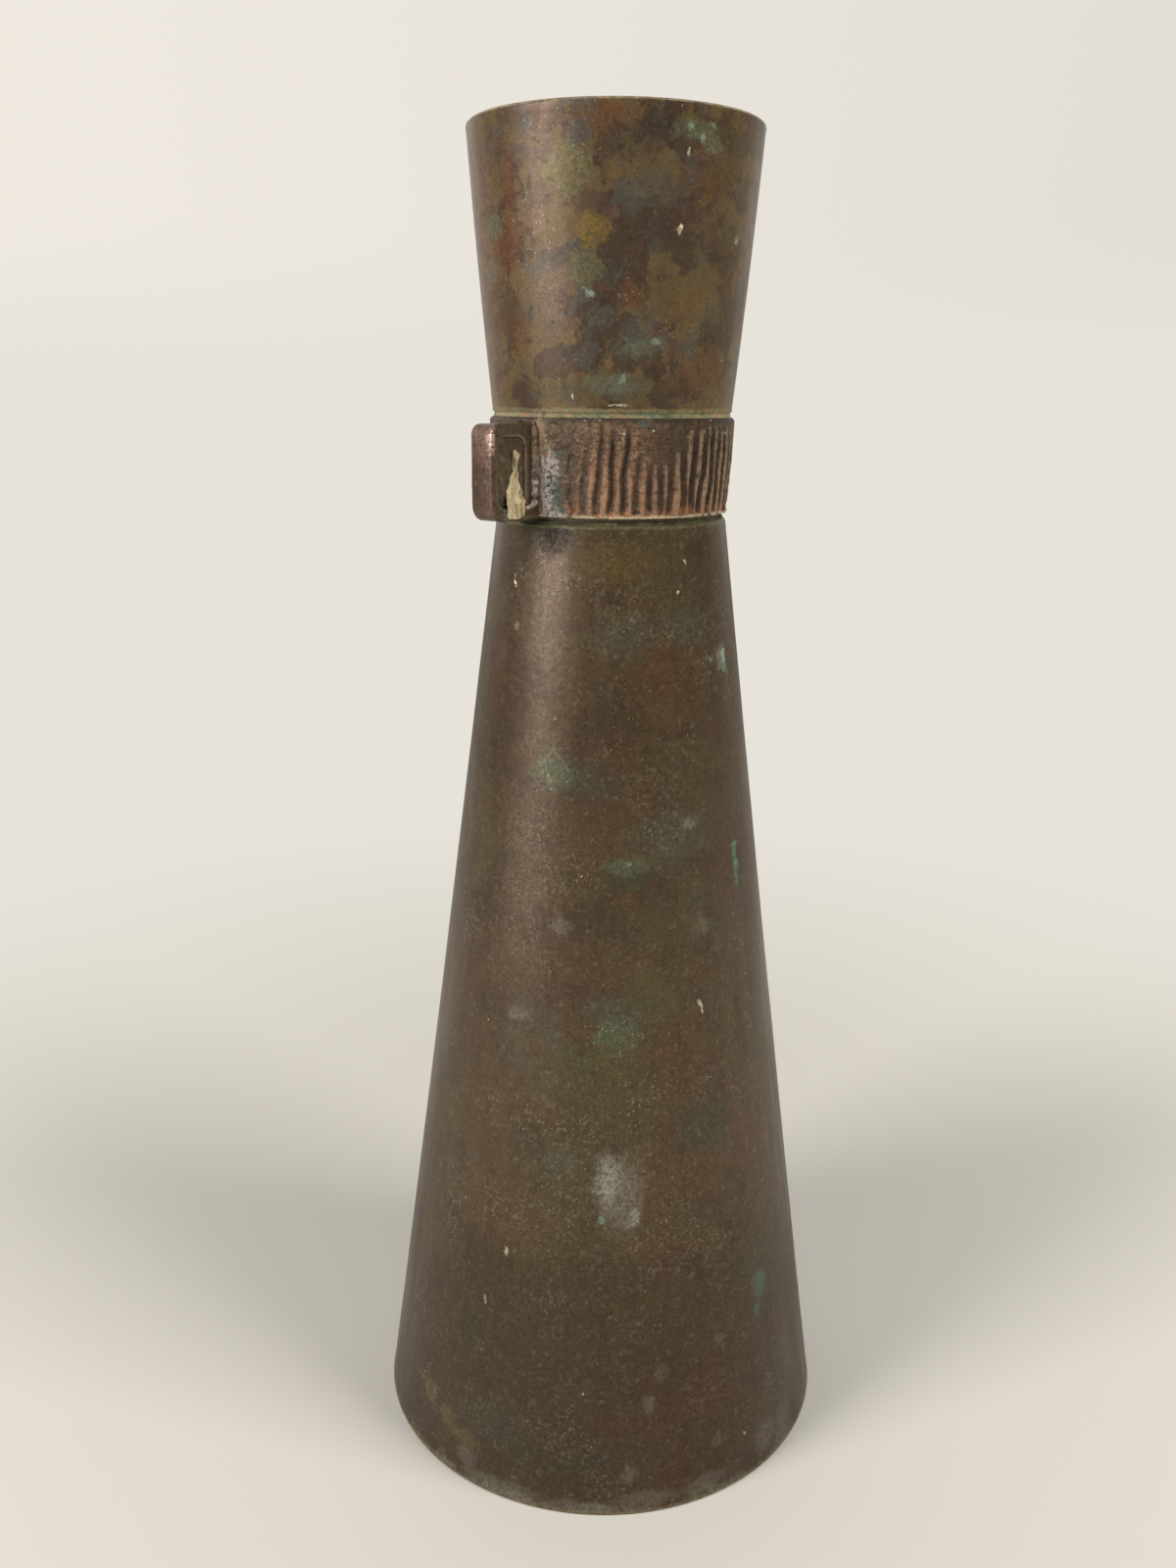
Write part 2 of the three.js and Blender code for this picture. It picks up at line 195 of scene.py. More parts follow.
wall = add(sky, "ShaderNodeMix", {0: shade, 6: "#f1ebe2", 7: "#e1dcd3"}, data_type="RGBA").outputs[2]
up = add(sky, "ShaderNodeSeparateXYZ", {0: where}).outputs[2]
above_floor = {"Value": up, "From Min": 0.0, "From Max": 0.12}
lift = add(sky, "ShaderNodeMapRange", above_floor, interpolation_type="SMOOTHSTEP").outputs["Result"]
faded = add(sky, "ShaderNodeMix", {0: lift, 6: PALE, 7: wall}, data_type="RGBA").outputs[2]
sheet = add(sky, "ShaderNodeBackground", {"Color": faded, "Strength": 1.0}).outputs[0]
to_camera = add(sky, "ShaderNodeLightPath").outputs["Is Camera Ray"]
both = add(sky, "ShaderNodeMixShader", {0: to_camera, 1: room, 2: sheet}).outputs[0]
add(sky, "ShaderNodeOutputWorld", {"Surface": both})
bpy.context.scene.view_settings.view_transform = "Standard"
print("world:", len(sky.nodes), "nodes")

# %% [markdown]
# The floor
# A pale paper floor runs back and turns up into the sheet without a line. A flat disc does for it: near the
# vase it is matt paper that takes shadows, and further out the camera sees it fade to the colour of the
# sheet.

# %% Floor
FLOOR_RADIUS = 4.0  # metres, as are the four distances from the vase below
TONE_START = 0.10
TONE_END = 0.42
FADE_START = 0.18
FADE_END = 0.50

paper, tree, spot = new_material("matt_paper_floor")
out = add(tree, "ShaderNodeVectorMath", {0: spot}, operation="LENGTH").outputs["Value"]
# The paper is painted darker near the vase and lighter further out, a painted light that makes up for the
# lamps' light falling off with distance.
tone_zone = {"Value": out, "From Min": TONE_START, "From Max": TONE_END}
outward = add(tree, "ShaderNodeMapRange", tone_zone, interpolation_type="SMOOTHSTEP").outputs["Result"]
tone = add(tree, "ShaderNodeMix", {0: outward, 6: "#c5c1b9", 7: "#dad6ce"}, data_type="RGBA").outputs[2]
fibres = {"Vector": spot, "Scale": 1 / (1.5 * mm), "Detail": 3.0}
fibre = add(tree, "ShaderNodeTexNoise", fibres).outputs["Fac"]
bump = add(tree, "ShaderNodeBump", {"Height": fibre, "Distance": 0.05 * mm, "Strength": 0.4}).outputs[0]
matt = add(tree, "ShaderNodeBsdfDiffuse", {"Color": tone, "Normal": bump}).outputs[0]
backdrop = add(tree, "ShaderNodeEmission", {"Color": PALE}).outputs[0]
fade_zone = {"Value": out, "From Min": FADE_START, "From Max": FADE_END}
far = add(tree, "ShaderNodeMapRange", fade_zone, interpolation_type="SMOOTHSTEP").outputs["Result"]
to_camera = add(tree, "ShaderNodeLightPath").outputs["Is Camera Ray"]
seen = add(tree, "ShaderNodeMath", {0: far, 1: to_camera}, operation="MULTIPLY").outputs[0]
blended = add(tree, "ShaderNodeMixShader", {0: seen, 1: matt, 2: backdrop}).outputs[0]
add(tree, "ShaderNodeOutputMaterial", {"Surface": blended})

bm = bmesh.new()
bmesh.ops.create_circle(bm, cap_ends=True, segments=96, radius=FLOOR_RADIUS)
floor_mesh = bpy.data.meshes.new("floor")
bm.to_mesh(floor_mesh)
bm.free()
floor_mesh.materials.append(paper)
floor = bpy.data.objects.new("floor", floor_mesh)
bpy.context.scene.collection.objects.link(floor)
print("floor:", 2 * FLOOR_RADIUS, "m across")

# %% [markdown]
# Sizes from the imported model
# Each node's box gives the levels where one piece ends and the next begins. The few sizes that no box
# shows, such as a wall or a rounding, are named here in millimetres.

# %% Levels and radii
foot_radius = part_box("lower_body")[1].x
shoulder_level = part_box("waist_braze")[0].z
lower_spigot_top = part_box("lower_body")[1].z
band_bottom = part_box("waist_band")[0].z
band_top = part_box("waist_band")[1].z
neck_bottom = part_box("neck_braze")[1].z
upper_spigot_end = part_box("upper_neck")[0].z
mouth_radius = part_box("upper_neck")[1].x
mouth_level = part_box("upper_neck")[1].z
plate_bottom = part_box("base_plate")[0].z
plate_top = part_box("base_plate")[1].z

SHOULDER_RADIUS = 25.4 * mm
BODY_HOLLOW = 0.4 * mm  # how far the body's side dips inside a straight cone
BODY_WALL = 2.4 * mm
SHOULDER_CHAMFER = 0.5 * mm
FOOT_ROUND = 0.6 * mm
LEDGE_WIDTH = 1.0 * mm
NECK_RADIUS = 26.0 * mm
NECK_SWELL = 0.2 * mm  # how far the neck's side stands outside a straight cone
MOUTH_WALL = 2.2 * mm
LIP_ROUND = 0.9 * mm
SPIGOT_WALL = 1.0 * mm
SPIGOT_CLEARANCE = 0.15 * mm
bore_radius = SHOULDER_RADIUS - BODY_WALL
spigot_radius = bore_radius + SPIGOT_WALL
socket_radius = spigot_radius + SPIGOT_CLEARANCE


def body_radius(level):
    """Outside of the lower body: a straight taper with a slight hollow."""
    share = level / shoulder_level
    straight = foot_radius + (SHOULDER_RADIUS - foot_radius) * share
    return straight - 4 * BODY_HOLLOW * share * (1 - share)


def neck_radius(level):
    """Outside of the neck: a straight flare with a slight swell."""
    share = (level - neck_bottom) / (mouth_level - neck_bottom)
    straight = NECK_RADIUS + (mouth_radius - NECK_RADIUS) * share
    return straight + 4 * NECK_SWELL * share * (1 - share)


def levels(low, high, spacing):
    """Evenly spaced levels from low to high, both included."""
    count = max(1, round((high - low) / spacing))
    return [low + (high - low) * i / count for i in range(count + 1)]


def arc(centre_radius, centre_level, size, start, end, steps=5):
    """Outline points on a rounded corner, from one angle to the other in degrees."""
    angles = [math.radians(start + (end - start) * i / steps) for i in range(steps + 1)]
    return [(centre_radius + size * math.cos(a), centre_level + size * math.sin(a)) for a in angles]


print("body", round(shoulder_level / mm, 1), "mm high, band to", round(band_top / mm, 1), "mm")

# %% [markdown]
# Turning an outline into a piece
# All the round pieces are turned shapes. An outline of a few points goes into a bmesh and the spin operator
# sweeps it round Z. One sector is spun first and the rest are spun copies of it, which is much quicker than
# one long spin. Points that meet between two copies or on the axis are merged. The normals are worked out
# last, because a spin can turn a shape inside out. A Screw modifier would turn the outline too, but a bmesh
# leaves plain points for the next lines to move. Nothing made by hand is quite true, so the outsides are
# then moved in by slow waves.

# %% Spin, wave and finish helpers
SECTORS = 12
WAVE_DEPTH = 0.14 * mm


def spun(outline, steps):
    """A bmesh of a closed outline of (radius, level) points turned round Z."""
    sector = math.tau / SECTORS
    bm = bmesh.new()
    corners = [bm.verts.new((radius, 0, level)) for radius, level in outline]
    sides = [bm.edges.new(pair) for pair in zip(corners, corners[1:] + corners[:1])]
    around = {"cent": (0, 0, 0), "axis": (0, 0, 1)}
    bmesh.ops.spin(bm, geom=corners + sides, angle=sector, steps=steps // SECTORS, **around)
    wedge = bm.verts[:] + bm.edges[:] + bm.faces[:]
    bmesh.ops.spin(bm, geom=wedge, angle=math.tau - sector, steps=SECTORS - 1, use_duplicate=True, **around)
    bmesh.ops.remove_doubles(bm, verts=bm.verts, dist=0.001 * mm)
    on_axis = [edge for edge in bm.edges if not edge.link_faces]
    bmesh.ops.delete(bm, geom=on_axis, context="EDGES")
    bmesh.ops.recalc_face_normals(bm, faces=bm.faces)
    return bm


def ripple(point, size, seed):
    """Smooth noise from -1 to 1 with bumps about the given size."""
    return noise.noise(point / size + Vector((seed, 1.7 * seed, 2.3 * seed)))


def hand_turned(bm, surface, depth, low, high, long_wave, short_wave, seed):
    """Moves the points between two levels, and within a depth of the outside, in by slow waves."""
    for vert in bm.verts:
        radius = vert.co.xy.length
        if low < vert.co.z < high and radius > surface(vert.co.z) - depth:
            slow = 0.35 * ripple(vert.co, long_wave, seed)
            quick = 0.15 * ripple(vert.co, short_wave, seed + 1)
            vert.co.xy *= 1 - WAVE_DEPTH * (0.5 + slow + quick) / radius


def line_inside(bm):
    """Gives the second material to the faces that look towards the axis."""
    for face in bm.faces:
        middle = face.calc_center_median()
        if face.normal.x * middle.x + face.normal.y * middle.y < -0.2 * middle.xy.length:
            face.material_index = 1


def placed(bm, name, materials, node=None, sharp=35):
    """Makes the finished object of a bmesh and fixes it to the frame. Edges over sharp degrees stay crisp."""
    mesh = bpy.data.meshes.new(name)
    bm.to_mesh(mesh)
    bm.free()
    mesh.shade_smooth()
    mesh.set_sharp_from_angle(angle=math.radians(sharp))
    for material in materials:
        mesh.materials.append(material)
    piece = bpy.data.objects.new(name, mesh)
    bpy.context.scene.collection.objects.link(piece)
    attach(piece, "root")
    if node:
        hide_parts(node)
    print(name, "has", len(mesh.polygons), "faces")


# %% [markdown]
# Patterns for the patina
# Old coloured copper is never one brown. Clouds of olive, red and grey lie over each other at several
# sizes, and a few marks stand out that anyone would know the vase by. The clouds are noise textures cut at
# two heights: close together for a crisp map-like edge, far apart for a soft one. They could be painted on
# an image, but noise in object coordinates needs no unwrapping and stays sharp from close by. The sizes of
# patches and marks are given in millimetres.

# %% Patch and layer helpers
def patches(tree, spot, size, seed, low, high, detail=4.0, roughness=0.55):
    """A mask of irregular patches about a size across. It rises from 0 to 1 between low and high."""
    field = {"Vector": spot, "W": seed, "Scale": 1 / (size * mm), "Detail": detail, "Roughness": roughness}
    height = add(tree, "ShaderNodeTexNoise", field, noise_dimensions="4D").outputs["Fac"]
    cut = {"Value": height, "From Min": low, "From Max": high}
    return add(tree, "ShaderNodeMapRange", cut, interpolation_type="SMOOTHSTEP").outputs["Result"]


def between(tree, spot, axis, start, end):
    """A mask that goes from 0 to 1 along one axis of the coordinates."""
    part = add(tree, "ShaderNodeSeparateXYZ", {0: spot}).outputs[axis]
    rise = {"Value": part, "From Min": start, "From Max": end}
    return add(tree, "ShaderNodeMapRange", rise, interpolation_type="SMOOTHSTEP").outputs["Result"]


def over(tree, below, tint, amount, *masks):
    """Lays a tint over the colour below, by an amount, where all the masks are."""
    for mask in masks:
        amount = add(tree, "ShaderNodeMath", {0: mask, 1: amount}, operation="MULTIPLY").outputs[0]
    return add(tree, "ShaderNodeMix", {0: amount, 6: below, 7: tint}, data_type="RGBA").outputs[2]


def clouded(tree, spot, colour, clouds):
    """Lays clouds over a colour in turn. Each is a tint, an amount, and what patches needs to know."""
    for tint, amount, *cloud in clouds:
        colour = over(tree, colour, tint, amount, patches(tree, spot, *cloud))
    return colour


def ragged(tree, spot, size, amount):
    """Coordinates pushed about by noise, so that whatever is drawn with them gets a ragged edge."""
    noise_field = {"Vector": spot, "Scale": 1 / (size * mm), "Detail": 6.0, "Roughness": 0.68}
    push = add(tree, "ShaderNodeTexNoise", noise_field).outputs["Color"]
    half = (0.5, 0.5, 0.5)
    centred = add(tree, "ShaderNodeVectorMath", {0: push, 1: half}, operation="SUBTRACT").outputs[0]
    pushed = {0: centred, 1: [amount * mm] * 3, 2: spot}
    return add(tree, "ShaderNodeVectorMath", pushed, operation="MULTIPLY_ADD").outputs[0]


# %% [markdown]
# Marks, flecks and strokes
# A known mark is placed by its angle round the vase and its height: a Mapping node moves the coordinates to
# it and scales them to its size, and a round gradient fades from its middle. Fine noise then eats into the
# edge. Flecks are the cells of a Voronoi texture, of which only some are kept, and the short strokes are
# the level lines of a noise.

# %% Mark and fleck helpers
# Fine noise that stays near a half, for crumbling the edge of a mark
GRAIN = {"Scale": 1 / (1.0 * mm), "Detail": 4.0, "Roughness": 0.7}
CRUMBLE = 1.5  # how far the grain eats into a mark's edge, as a share of its size
MARK_REACH = 3  # the gradient of a mark ends at this many times its size
MARK_DEPTH = 8  # how far a mark reaches through the wall, so that the other side of the vase is left alone
BAND_SURFACE = 26.3 * mm


def outside_radius(level):
    """Radius of the vase's outside at a level."""
    if level < shoulder_level:
        return body_radius(level)
    return neck_radius(level) if level > neck_bottom else BAND_SURFACE


def marks(tree, spot, grain, places, soft, out=None):
    """A mask of marks, each given as an angle in degrees, a level, a half width and a half height. They
    lie on the vase's outside, or at a distance out from the axis."""
    nearest = None
    for angle, level, half_width, half_height in places:
        turned = math.radians(angle)
        radius = out or outside_radius(level * mm)
        place = {
            "Vector": spot,
            "Location": (radius * math.cos(turned), radius * math.sin(turned), level * mm),
            "Rotation": (0, 0, turned),
            "Scale": [MARK_REACH * size * mm for size in (MARK_DEPTH, half_width, half_height)],
        }
        local = add(tree, "ShaderNodeMapping", place, vector_type="TEXTURE").outputs[0]
        # This gradient is 1 in the middle of the mark and falls evenly to 0 at its reach.
        near = add(tree, "ShaderNodeTexGradient", {0: local}, gradient_type="SPHERICAL").outputs["Fac"]
        if nearest is not None:
            near = add(tree, "ShaderNodeMath", {0: nearest, 1: near}, operation="MAXIMUM").outputs[0]
        nearest = near
    to_edge = {0: nearest, 1: -MARK_REACH, 2: MARK_REACH}
    away = add(tree, "ShaderNodeMath", to_edge, operation="MULTIPLY_ADD").outputs[0]
    eaten = {0: grain, 1: CRUMBLE, 2: away}
    crumbled = add(tree, "ShaderNodeMath", eaten, operation="MULTIPLY_ADD").outputs[0]
    middle = 1 + CRUMBLE / 2
    cut = {"Value": crumbled, "From Min": middle + soft, "From Max": middle - soft}
    return add(tree, "ShaderNodeMapRange", cut, interpolation_type="SMOOTHSTEP").outputs["Result"]


def flecks(tree, spot, spacing, share, size, seed):
    """A mask of tiny round flecks: their spacing, the share of places that have one, and their size."""
    moved = add(tree, "ShaderNodeVectorMath", {0: spot, 1: (seed, seed, seed)}, operation="ADD").outputs[0]
    cells = add(tree, "ShaderNodeTexVoronoi", {"Vector": moved, "Scale": 1 / (spacing * mm)})
    reach = size / spacing / 2
    shrink = {"Value": cells.outputs["Distance"], "From Min": reach, "From Max": reach * 0.5}
    dot = add(tree, "ShaderNodeMapRange", shrink).outputs["Result"]
    pick = add(tree, "ShaderNodeSeparateColor", {0: cells.outputs["Color"]}).outputs[0]
    chosen = add(tree, "ShaderNodeMath", {0: pick, 1: 1 - share}, operation="GREATER_THAN").outputs[0]
    return add(tree, "ShaderNodeMath", {0: dot, 1: chosen}, operation="MULTIPLY").outputs[0]


def hairlines(tree, spot, size, width, seed):
    """A mask of short fine strokes: the level lines of one noise, broken into pieces by another."""
    field = {"Vector": spot, "W": seed, "Scale": 1 / (size * mm), "Detail": 2.0}
    height = add(tree, "ShaderNodeTexNoise", field, noise_dimensions="4D").outputs["Fac"]
    off = add(tree, "ShaderNodeMath", {0: height, 1: 0.5}, operation="SUBTRACT").outputs[0]
    apart = add(tree, "ShaderNodeMath", {0: off}, operation="ABSOLUTE").outputs[0]
    thin = {"Value": apart, "From Min": width, "From Max": 0.3 * width}
    line = add(tree, "ShaderNodeMapRange", thin).outputs["Result"]
    broken = patches(tree, spot, 0.6 * size, seed + 0.5, 0.52, 0.58, 2.0)
    return add(tree, "ShaderNodeMath", {0: line, 1: broken}, operation="MULTIPLY").outputs[0]


# %% [markdown]
# Closing a finish
# Clean metal mirrors a little and powdery corrosion doesn't. So each finish keeps a second mask, its
# powder, and the same last step turns it into the metallic value and the roughness, stacks the bumps and
# adds the shader.

# %% Powder and shader helpers
def powdered(tree, powder, mask, share):
    """Adds a share of a mask to the powder so far. The stronger of the two counts."""
    more = add(tree, "ShaderNodeMath", {0: mask, 1: share}, operation="MULTIPLY").outputs[0]
    return add(tree, "ShaderNodeMath", {0: powder, 1: more}, operation="MAXIMUM").outputs[0]


def surfaced(tree, colour, metallic, roughness, bumps, **other):
    """Ends a tree with its shader. The metallic value and the roughness are a number or a mask, or go from a
    low to a high number with a mask. Each bump is a height mask, a depth in millimetres and a strength."""
    normal = None
    for height, depth, strength in bumps:
        bump = {"Height": height, "Distance": depth * mm, "Strength": strength}
        if normal:
            bump["Normal"] = normal
        normal = add(tree, "ShaderNodeBump", bump).outputs[0]
    sockets = {"Base Color": colour, "Normal": normal, **other}
    for name, value in (("Metallic", metallic), ("Roughness", roughness)):
        if isinstance(value, tuple):
            low, high, mask = value
            span = {"Value": mask, "To Min": low, "To Max": high}
            value = add(tree, "ShaderNodeMapRange", span).outputs["Result"]
        sockets[name] = value
    shader = add(tree, "ShaderNodeBsdfPrincipled", sockets)
    add(tree, "ShaderNodeOutputMaterial", {"Surface": shader.outputs[0]})


# %% [markdown]
# Hand-coloured copper
# The body and neck are copper that was coloured in hot salts and waxed. What that gives the eye is a thin
# brown skin with a low sheen: some metal shows through it, and the highlight is soft and faintly tinted.
# Powdery corrosion has no metal in it, so where it lies the metallic value falls and the roughness rises.
# One function builds this finish for the body and the neck, and each gives it its own clouds, marks, edges
# and specks. The true grain of the skin is finer than a tenth of a millimetre, which no render would show,
# so its finest mottling is drawn half a millimetre across.

# %% Palette and the coloured copper finish
BROWN = "#52402e"
OLIVE_BROWN = "#4f452e"
REDDISH = "#5c3a29"
DARK_BROWN = "#33291d"
OCHRE = "#6d5a2e"
ORANGE_BROWN = "#6a4225"
GREY_GREEN = "#4b5040"
DARK_GREEN = "#373f31"
PALE_GREEN = "#76836b"
VERDIGRIS = "#628b6d"
BLOOM = "#878373"
CREAM = "#d8cba8"
GOLD = "#9c9168"
PIT = "#231b13"
CRUMB = "#a0967f"
WAX_GLOSS = {"Specular IOR Level": 0.34}


def coloured_copper(name, base, clouds, marked, edges, specked, mottled):
    """Copper with a thin brown skin. A comment over each table names its columns, and mottled is the strength
    of the finest mottling."""
    material, tree, spot = new_material(name)
    lobed = ragged(tree, spot, 5, 5)
    grain = add(tree, "ShaderNodeTexNoise", {"Vector": spot, **GRAIN}).outputs["Fac"]
    colour = clouded(tree, lobed, base, clouds)
    upright = add(tree, "ShaderNodeMapping", {"Vector": spot, "Scale": (1, 1, 0.1)}).outputs[0]
    brushed = patches(tree, upright, 3.5, 37, 0.45, 0.7, 5, 0.65)
    colour = over(tree, colour, DARK_BROWN, 0.35, brushed)
    powder = 0.0
    crumbs = patches(tree, spot, 1.0, 31, 0.40, 0.60, 3, 0.65)
    broken = add(tree, "ShaderNodeMapRange", {"Value": crumbs, "To Min": 0.45}).outputs["Result"]
    for tint, amount, soft, powdery, places in marked:
        whole = marks(tree, lobed, grain, places, soft)
        mask = add(tree, "ShaderNodeMath", {0: whole, 1: broken}, operation="MULTIPLY").outputs[0]
        colour = over(tree, colour, tint, amount, mask)
        if powdery:
            powder = powdered(tree, powder, mask, powdery * amount)
    for tint, amount, powdery, size, seed, start, full in edges:
        field = {"Vector": spot, "W": seed, "Scale": 1 / (size * mm), "Detail": 5.0, "Roughness": 0.65}
        height = add(tree, "ShaderNodeTexNoise", field, noise_dimensions="4D").outputs["Fac"]
        heap = {0: height, 1: 1.4, 2: between(tree, spot, 2, start, full)}
        heaped = add(tree, "ShaderNodeMath", heap, operation="MULTIPLY_ADD").outputs[0]
        cut = {"Value": heaped, "From Min": 1.10, "From Max": 1.35}
        mask = add(tree, "ShaderNodeMapRange", cut, interpolation_type="SMOOTHSTEP").outputs["Result"]
        colour = over(tree, colour, tint, amount, mask, broken)
        powder = powdered(tree, powder, mask, powdery * amount)
    mottling = [
        (DARK_BROWN, 0.42 * mottled, 0.9, 41, 0.42, 0.66, 4, 0.7),
        (BLOOM, 0.30 * mottled, 1.3, 42, 0.53, 0.72, 4, 0.7),
        (DARK_BROWN, 0.40 + 0.3 * mottled, 0.5, 44, 0.50, 0.66, 3, 0.7),
    ]
    colour = clouded(tree, spot, colour, mottling)
    crumbly = ragged(tree, spot, 0.8, 0.9)
    cluster = patches(tree, spot, 16, 43, 0.48, 0.62)
    clustered = add(tree, "ShaderNodeMapRange", {"Value": cluster, "To Min": 0.1}).outputs["Result"]
    colour = over(tree, colour, CRUMB, 0.55, flecks(tree, crumbly, 0.9, 0.45, 0.42, 0.67), clustered)
    for tint, amount, stroked, spacing, share, size, seed, places in specked:
        where = marks(tree, lobed, grain, places, 0.5) if places else cluster
        dots = flecks(tree, crumbly, spacing, share, size, seed)
        if stroked:
            dots = powdered(tree, dots, hairlines(tree, spot, 1.5 * spacing, 0.05, seed), 1.0)
        colour = over(tree, colour, tint, amount, dots, where)
    colour = over(tree, colour, CREAM, 0.6, flecks(tree, crumbly, 5.5, 0.12, 0.55, 0.71))
    colour = over(tree, colour, PIT, 0.7, flecks(tree, crumbly, 2.3, 0.25, 0.5, 0.83))
    sheen = {"Value": patches(tree, upright, 5, 47, 0.3, 0.7), "To Min": 0.35, "To Max": 0.45}
    gloss = add(tree, "ShaderNodeMapRange", sheen).outputs["Result"]
    dull = add(tree, "ShaderNodeMath", {0: powder, 1: 0.35, 2: gloss}, operation="MULTIPLY_ADD").outputs[0]
    waves = patches(tree, spot, 9, 59, 0.2, 0.8, 2)
    pits = patches(tree, spot, 1.1, 53, 0.3, 0.75, 4, 0.7)
    bumps = [(waves, 0.10, 0.5), (pits, 0.045, 0.25), (broken, 0.10, powder)]
    surfaced(tree, colour, (0.42, 0.02, powder), dull, bumps, **WAX_GLOSS)
    return material


# %% [markdown]
# The inside
# Nobody coloured or polished the inside. It has the dull brown oxide of old copper, rough and hardly
# metallic, with darker clouds and green stains where water stood.

# %% Oxidised copper for the inside
inside, tree, spot = new_material("oxidised_copper_inside")
stains = [
    ("#5f5340", 0.7, 18, 3, 0.42, 0.62),
    (DARK_GREEN, 0.5, 9, 5, 0.55, 0.68),
    (DARK_BROWN, 0.5, 1.5, 7, 0.4, 0.7),
]
colour = clouded(tree, spot, "#4a3a2c", stains)
surfaced(tree, colour, 0.35, 0.68, [(patches(tree, spot, 0.8, 9, 0.3, 0.7), 0.08, 0.7)])
print("inside:", len(tree.nodes), "nodes")

# %% [markdown]
# The lower body
# A cast and scraped cone, open at both ends. Its outline goes up the outside, over the shoulder and the
# spigot that enters the band, and down the inside to the rebate that holds the floor. Its slow waves, up to
# a seventh of a millimetre deep, are what makes the highlight wander.

# %% Lower body shape
BODY_STEPS = 288

rebate_radius = body_radius(plate_top) - BODY_WALL + LEDGE_WIDTH
body_outline = [
    (rebate_radius, 0),
    *arc(foot_radius - FOOT_ROUND, FOOT_ROUND, FOOT_ROUND, -90, 0),
    *[(body_radius(z), z) for z in levels(2 * mm, shoulder_level - SHOULDER_CHAMFER, 2 * mm)],
    (SHOULDER_RADIUS - SHOULDER_CHAMFER, shoulder_level),
    (spigot_radius, shoulder_level),
    (spigot_radius, lower_spigot_top),
    (bore_radius, lower_spigot_top),
    (bore_radius, shoulder_level),
    *[(body_radius(z) - BODY_WALL, z) for z in reversed(levels(plate_top, shoulder_level - 8 * mm, 8 * mm))],
    (rebate_radius, plate_top),
]
bm = spun(body_outline, BODY_STEPS)
hand_turned(bm, body_radius, 0.8 * mm, -1, shoulder_level, 45 * mm, 14 * mm, 1)
line_inside(bm)
print("outline of", len(body_outline), "points")

# %% [markdown]
# The body's colours
# The tables go from large to small: clouds all over, marks in their own places, scaly edges and a painted
# shade low down, and specks.
# Angles are in degrees counted from +X, and the camera stands at about -136, so the marks lie round that. A
# separate row for each kind of mark keeps its colour and its places together, and a place can be changed
# without the rest.

# %% Lower body finish
# Tint, amount, patch size, seed, low and high cut, detail, roughness
body_clouds = [
    (OLIVE_BROWN, 0.65, 70, 1, 0.42, 0.62, 4, 0.6),
    (REDDISH, 0.38, 34, 2, 0.50, 0.64, 7, 0.68),
    ("#3c3023", 0.5, 22, 3, 0.52, 0.62, 7, 0.68),
    (GREY_GREEN, 0.45, 15, 4, 0.54, 0.64, 7, 0.70),
    ("#5a4b30", 0.45, 9, 5, 0.54, 0.60, 6, 0.70),
    ("#3f3326", 0.40, 6, 6, 0.55, 0.60, 5, 0.70),
]
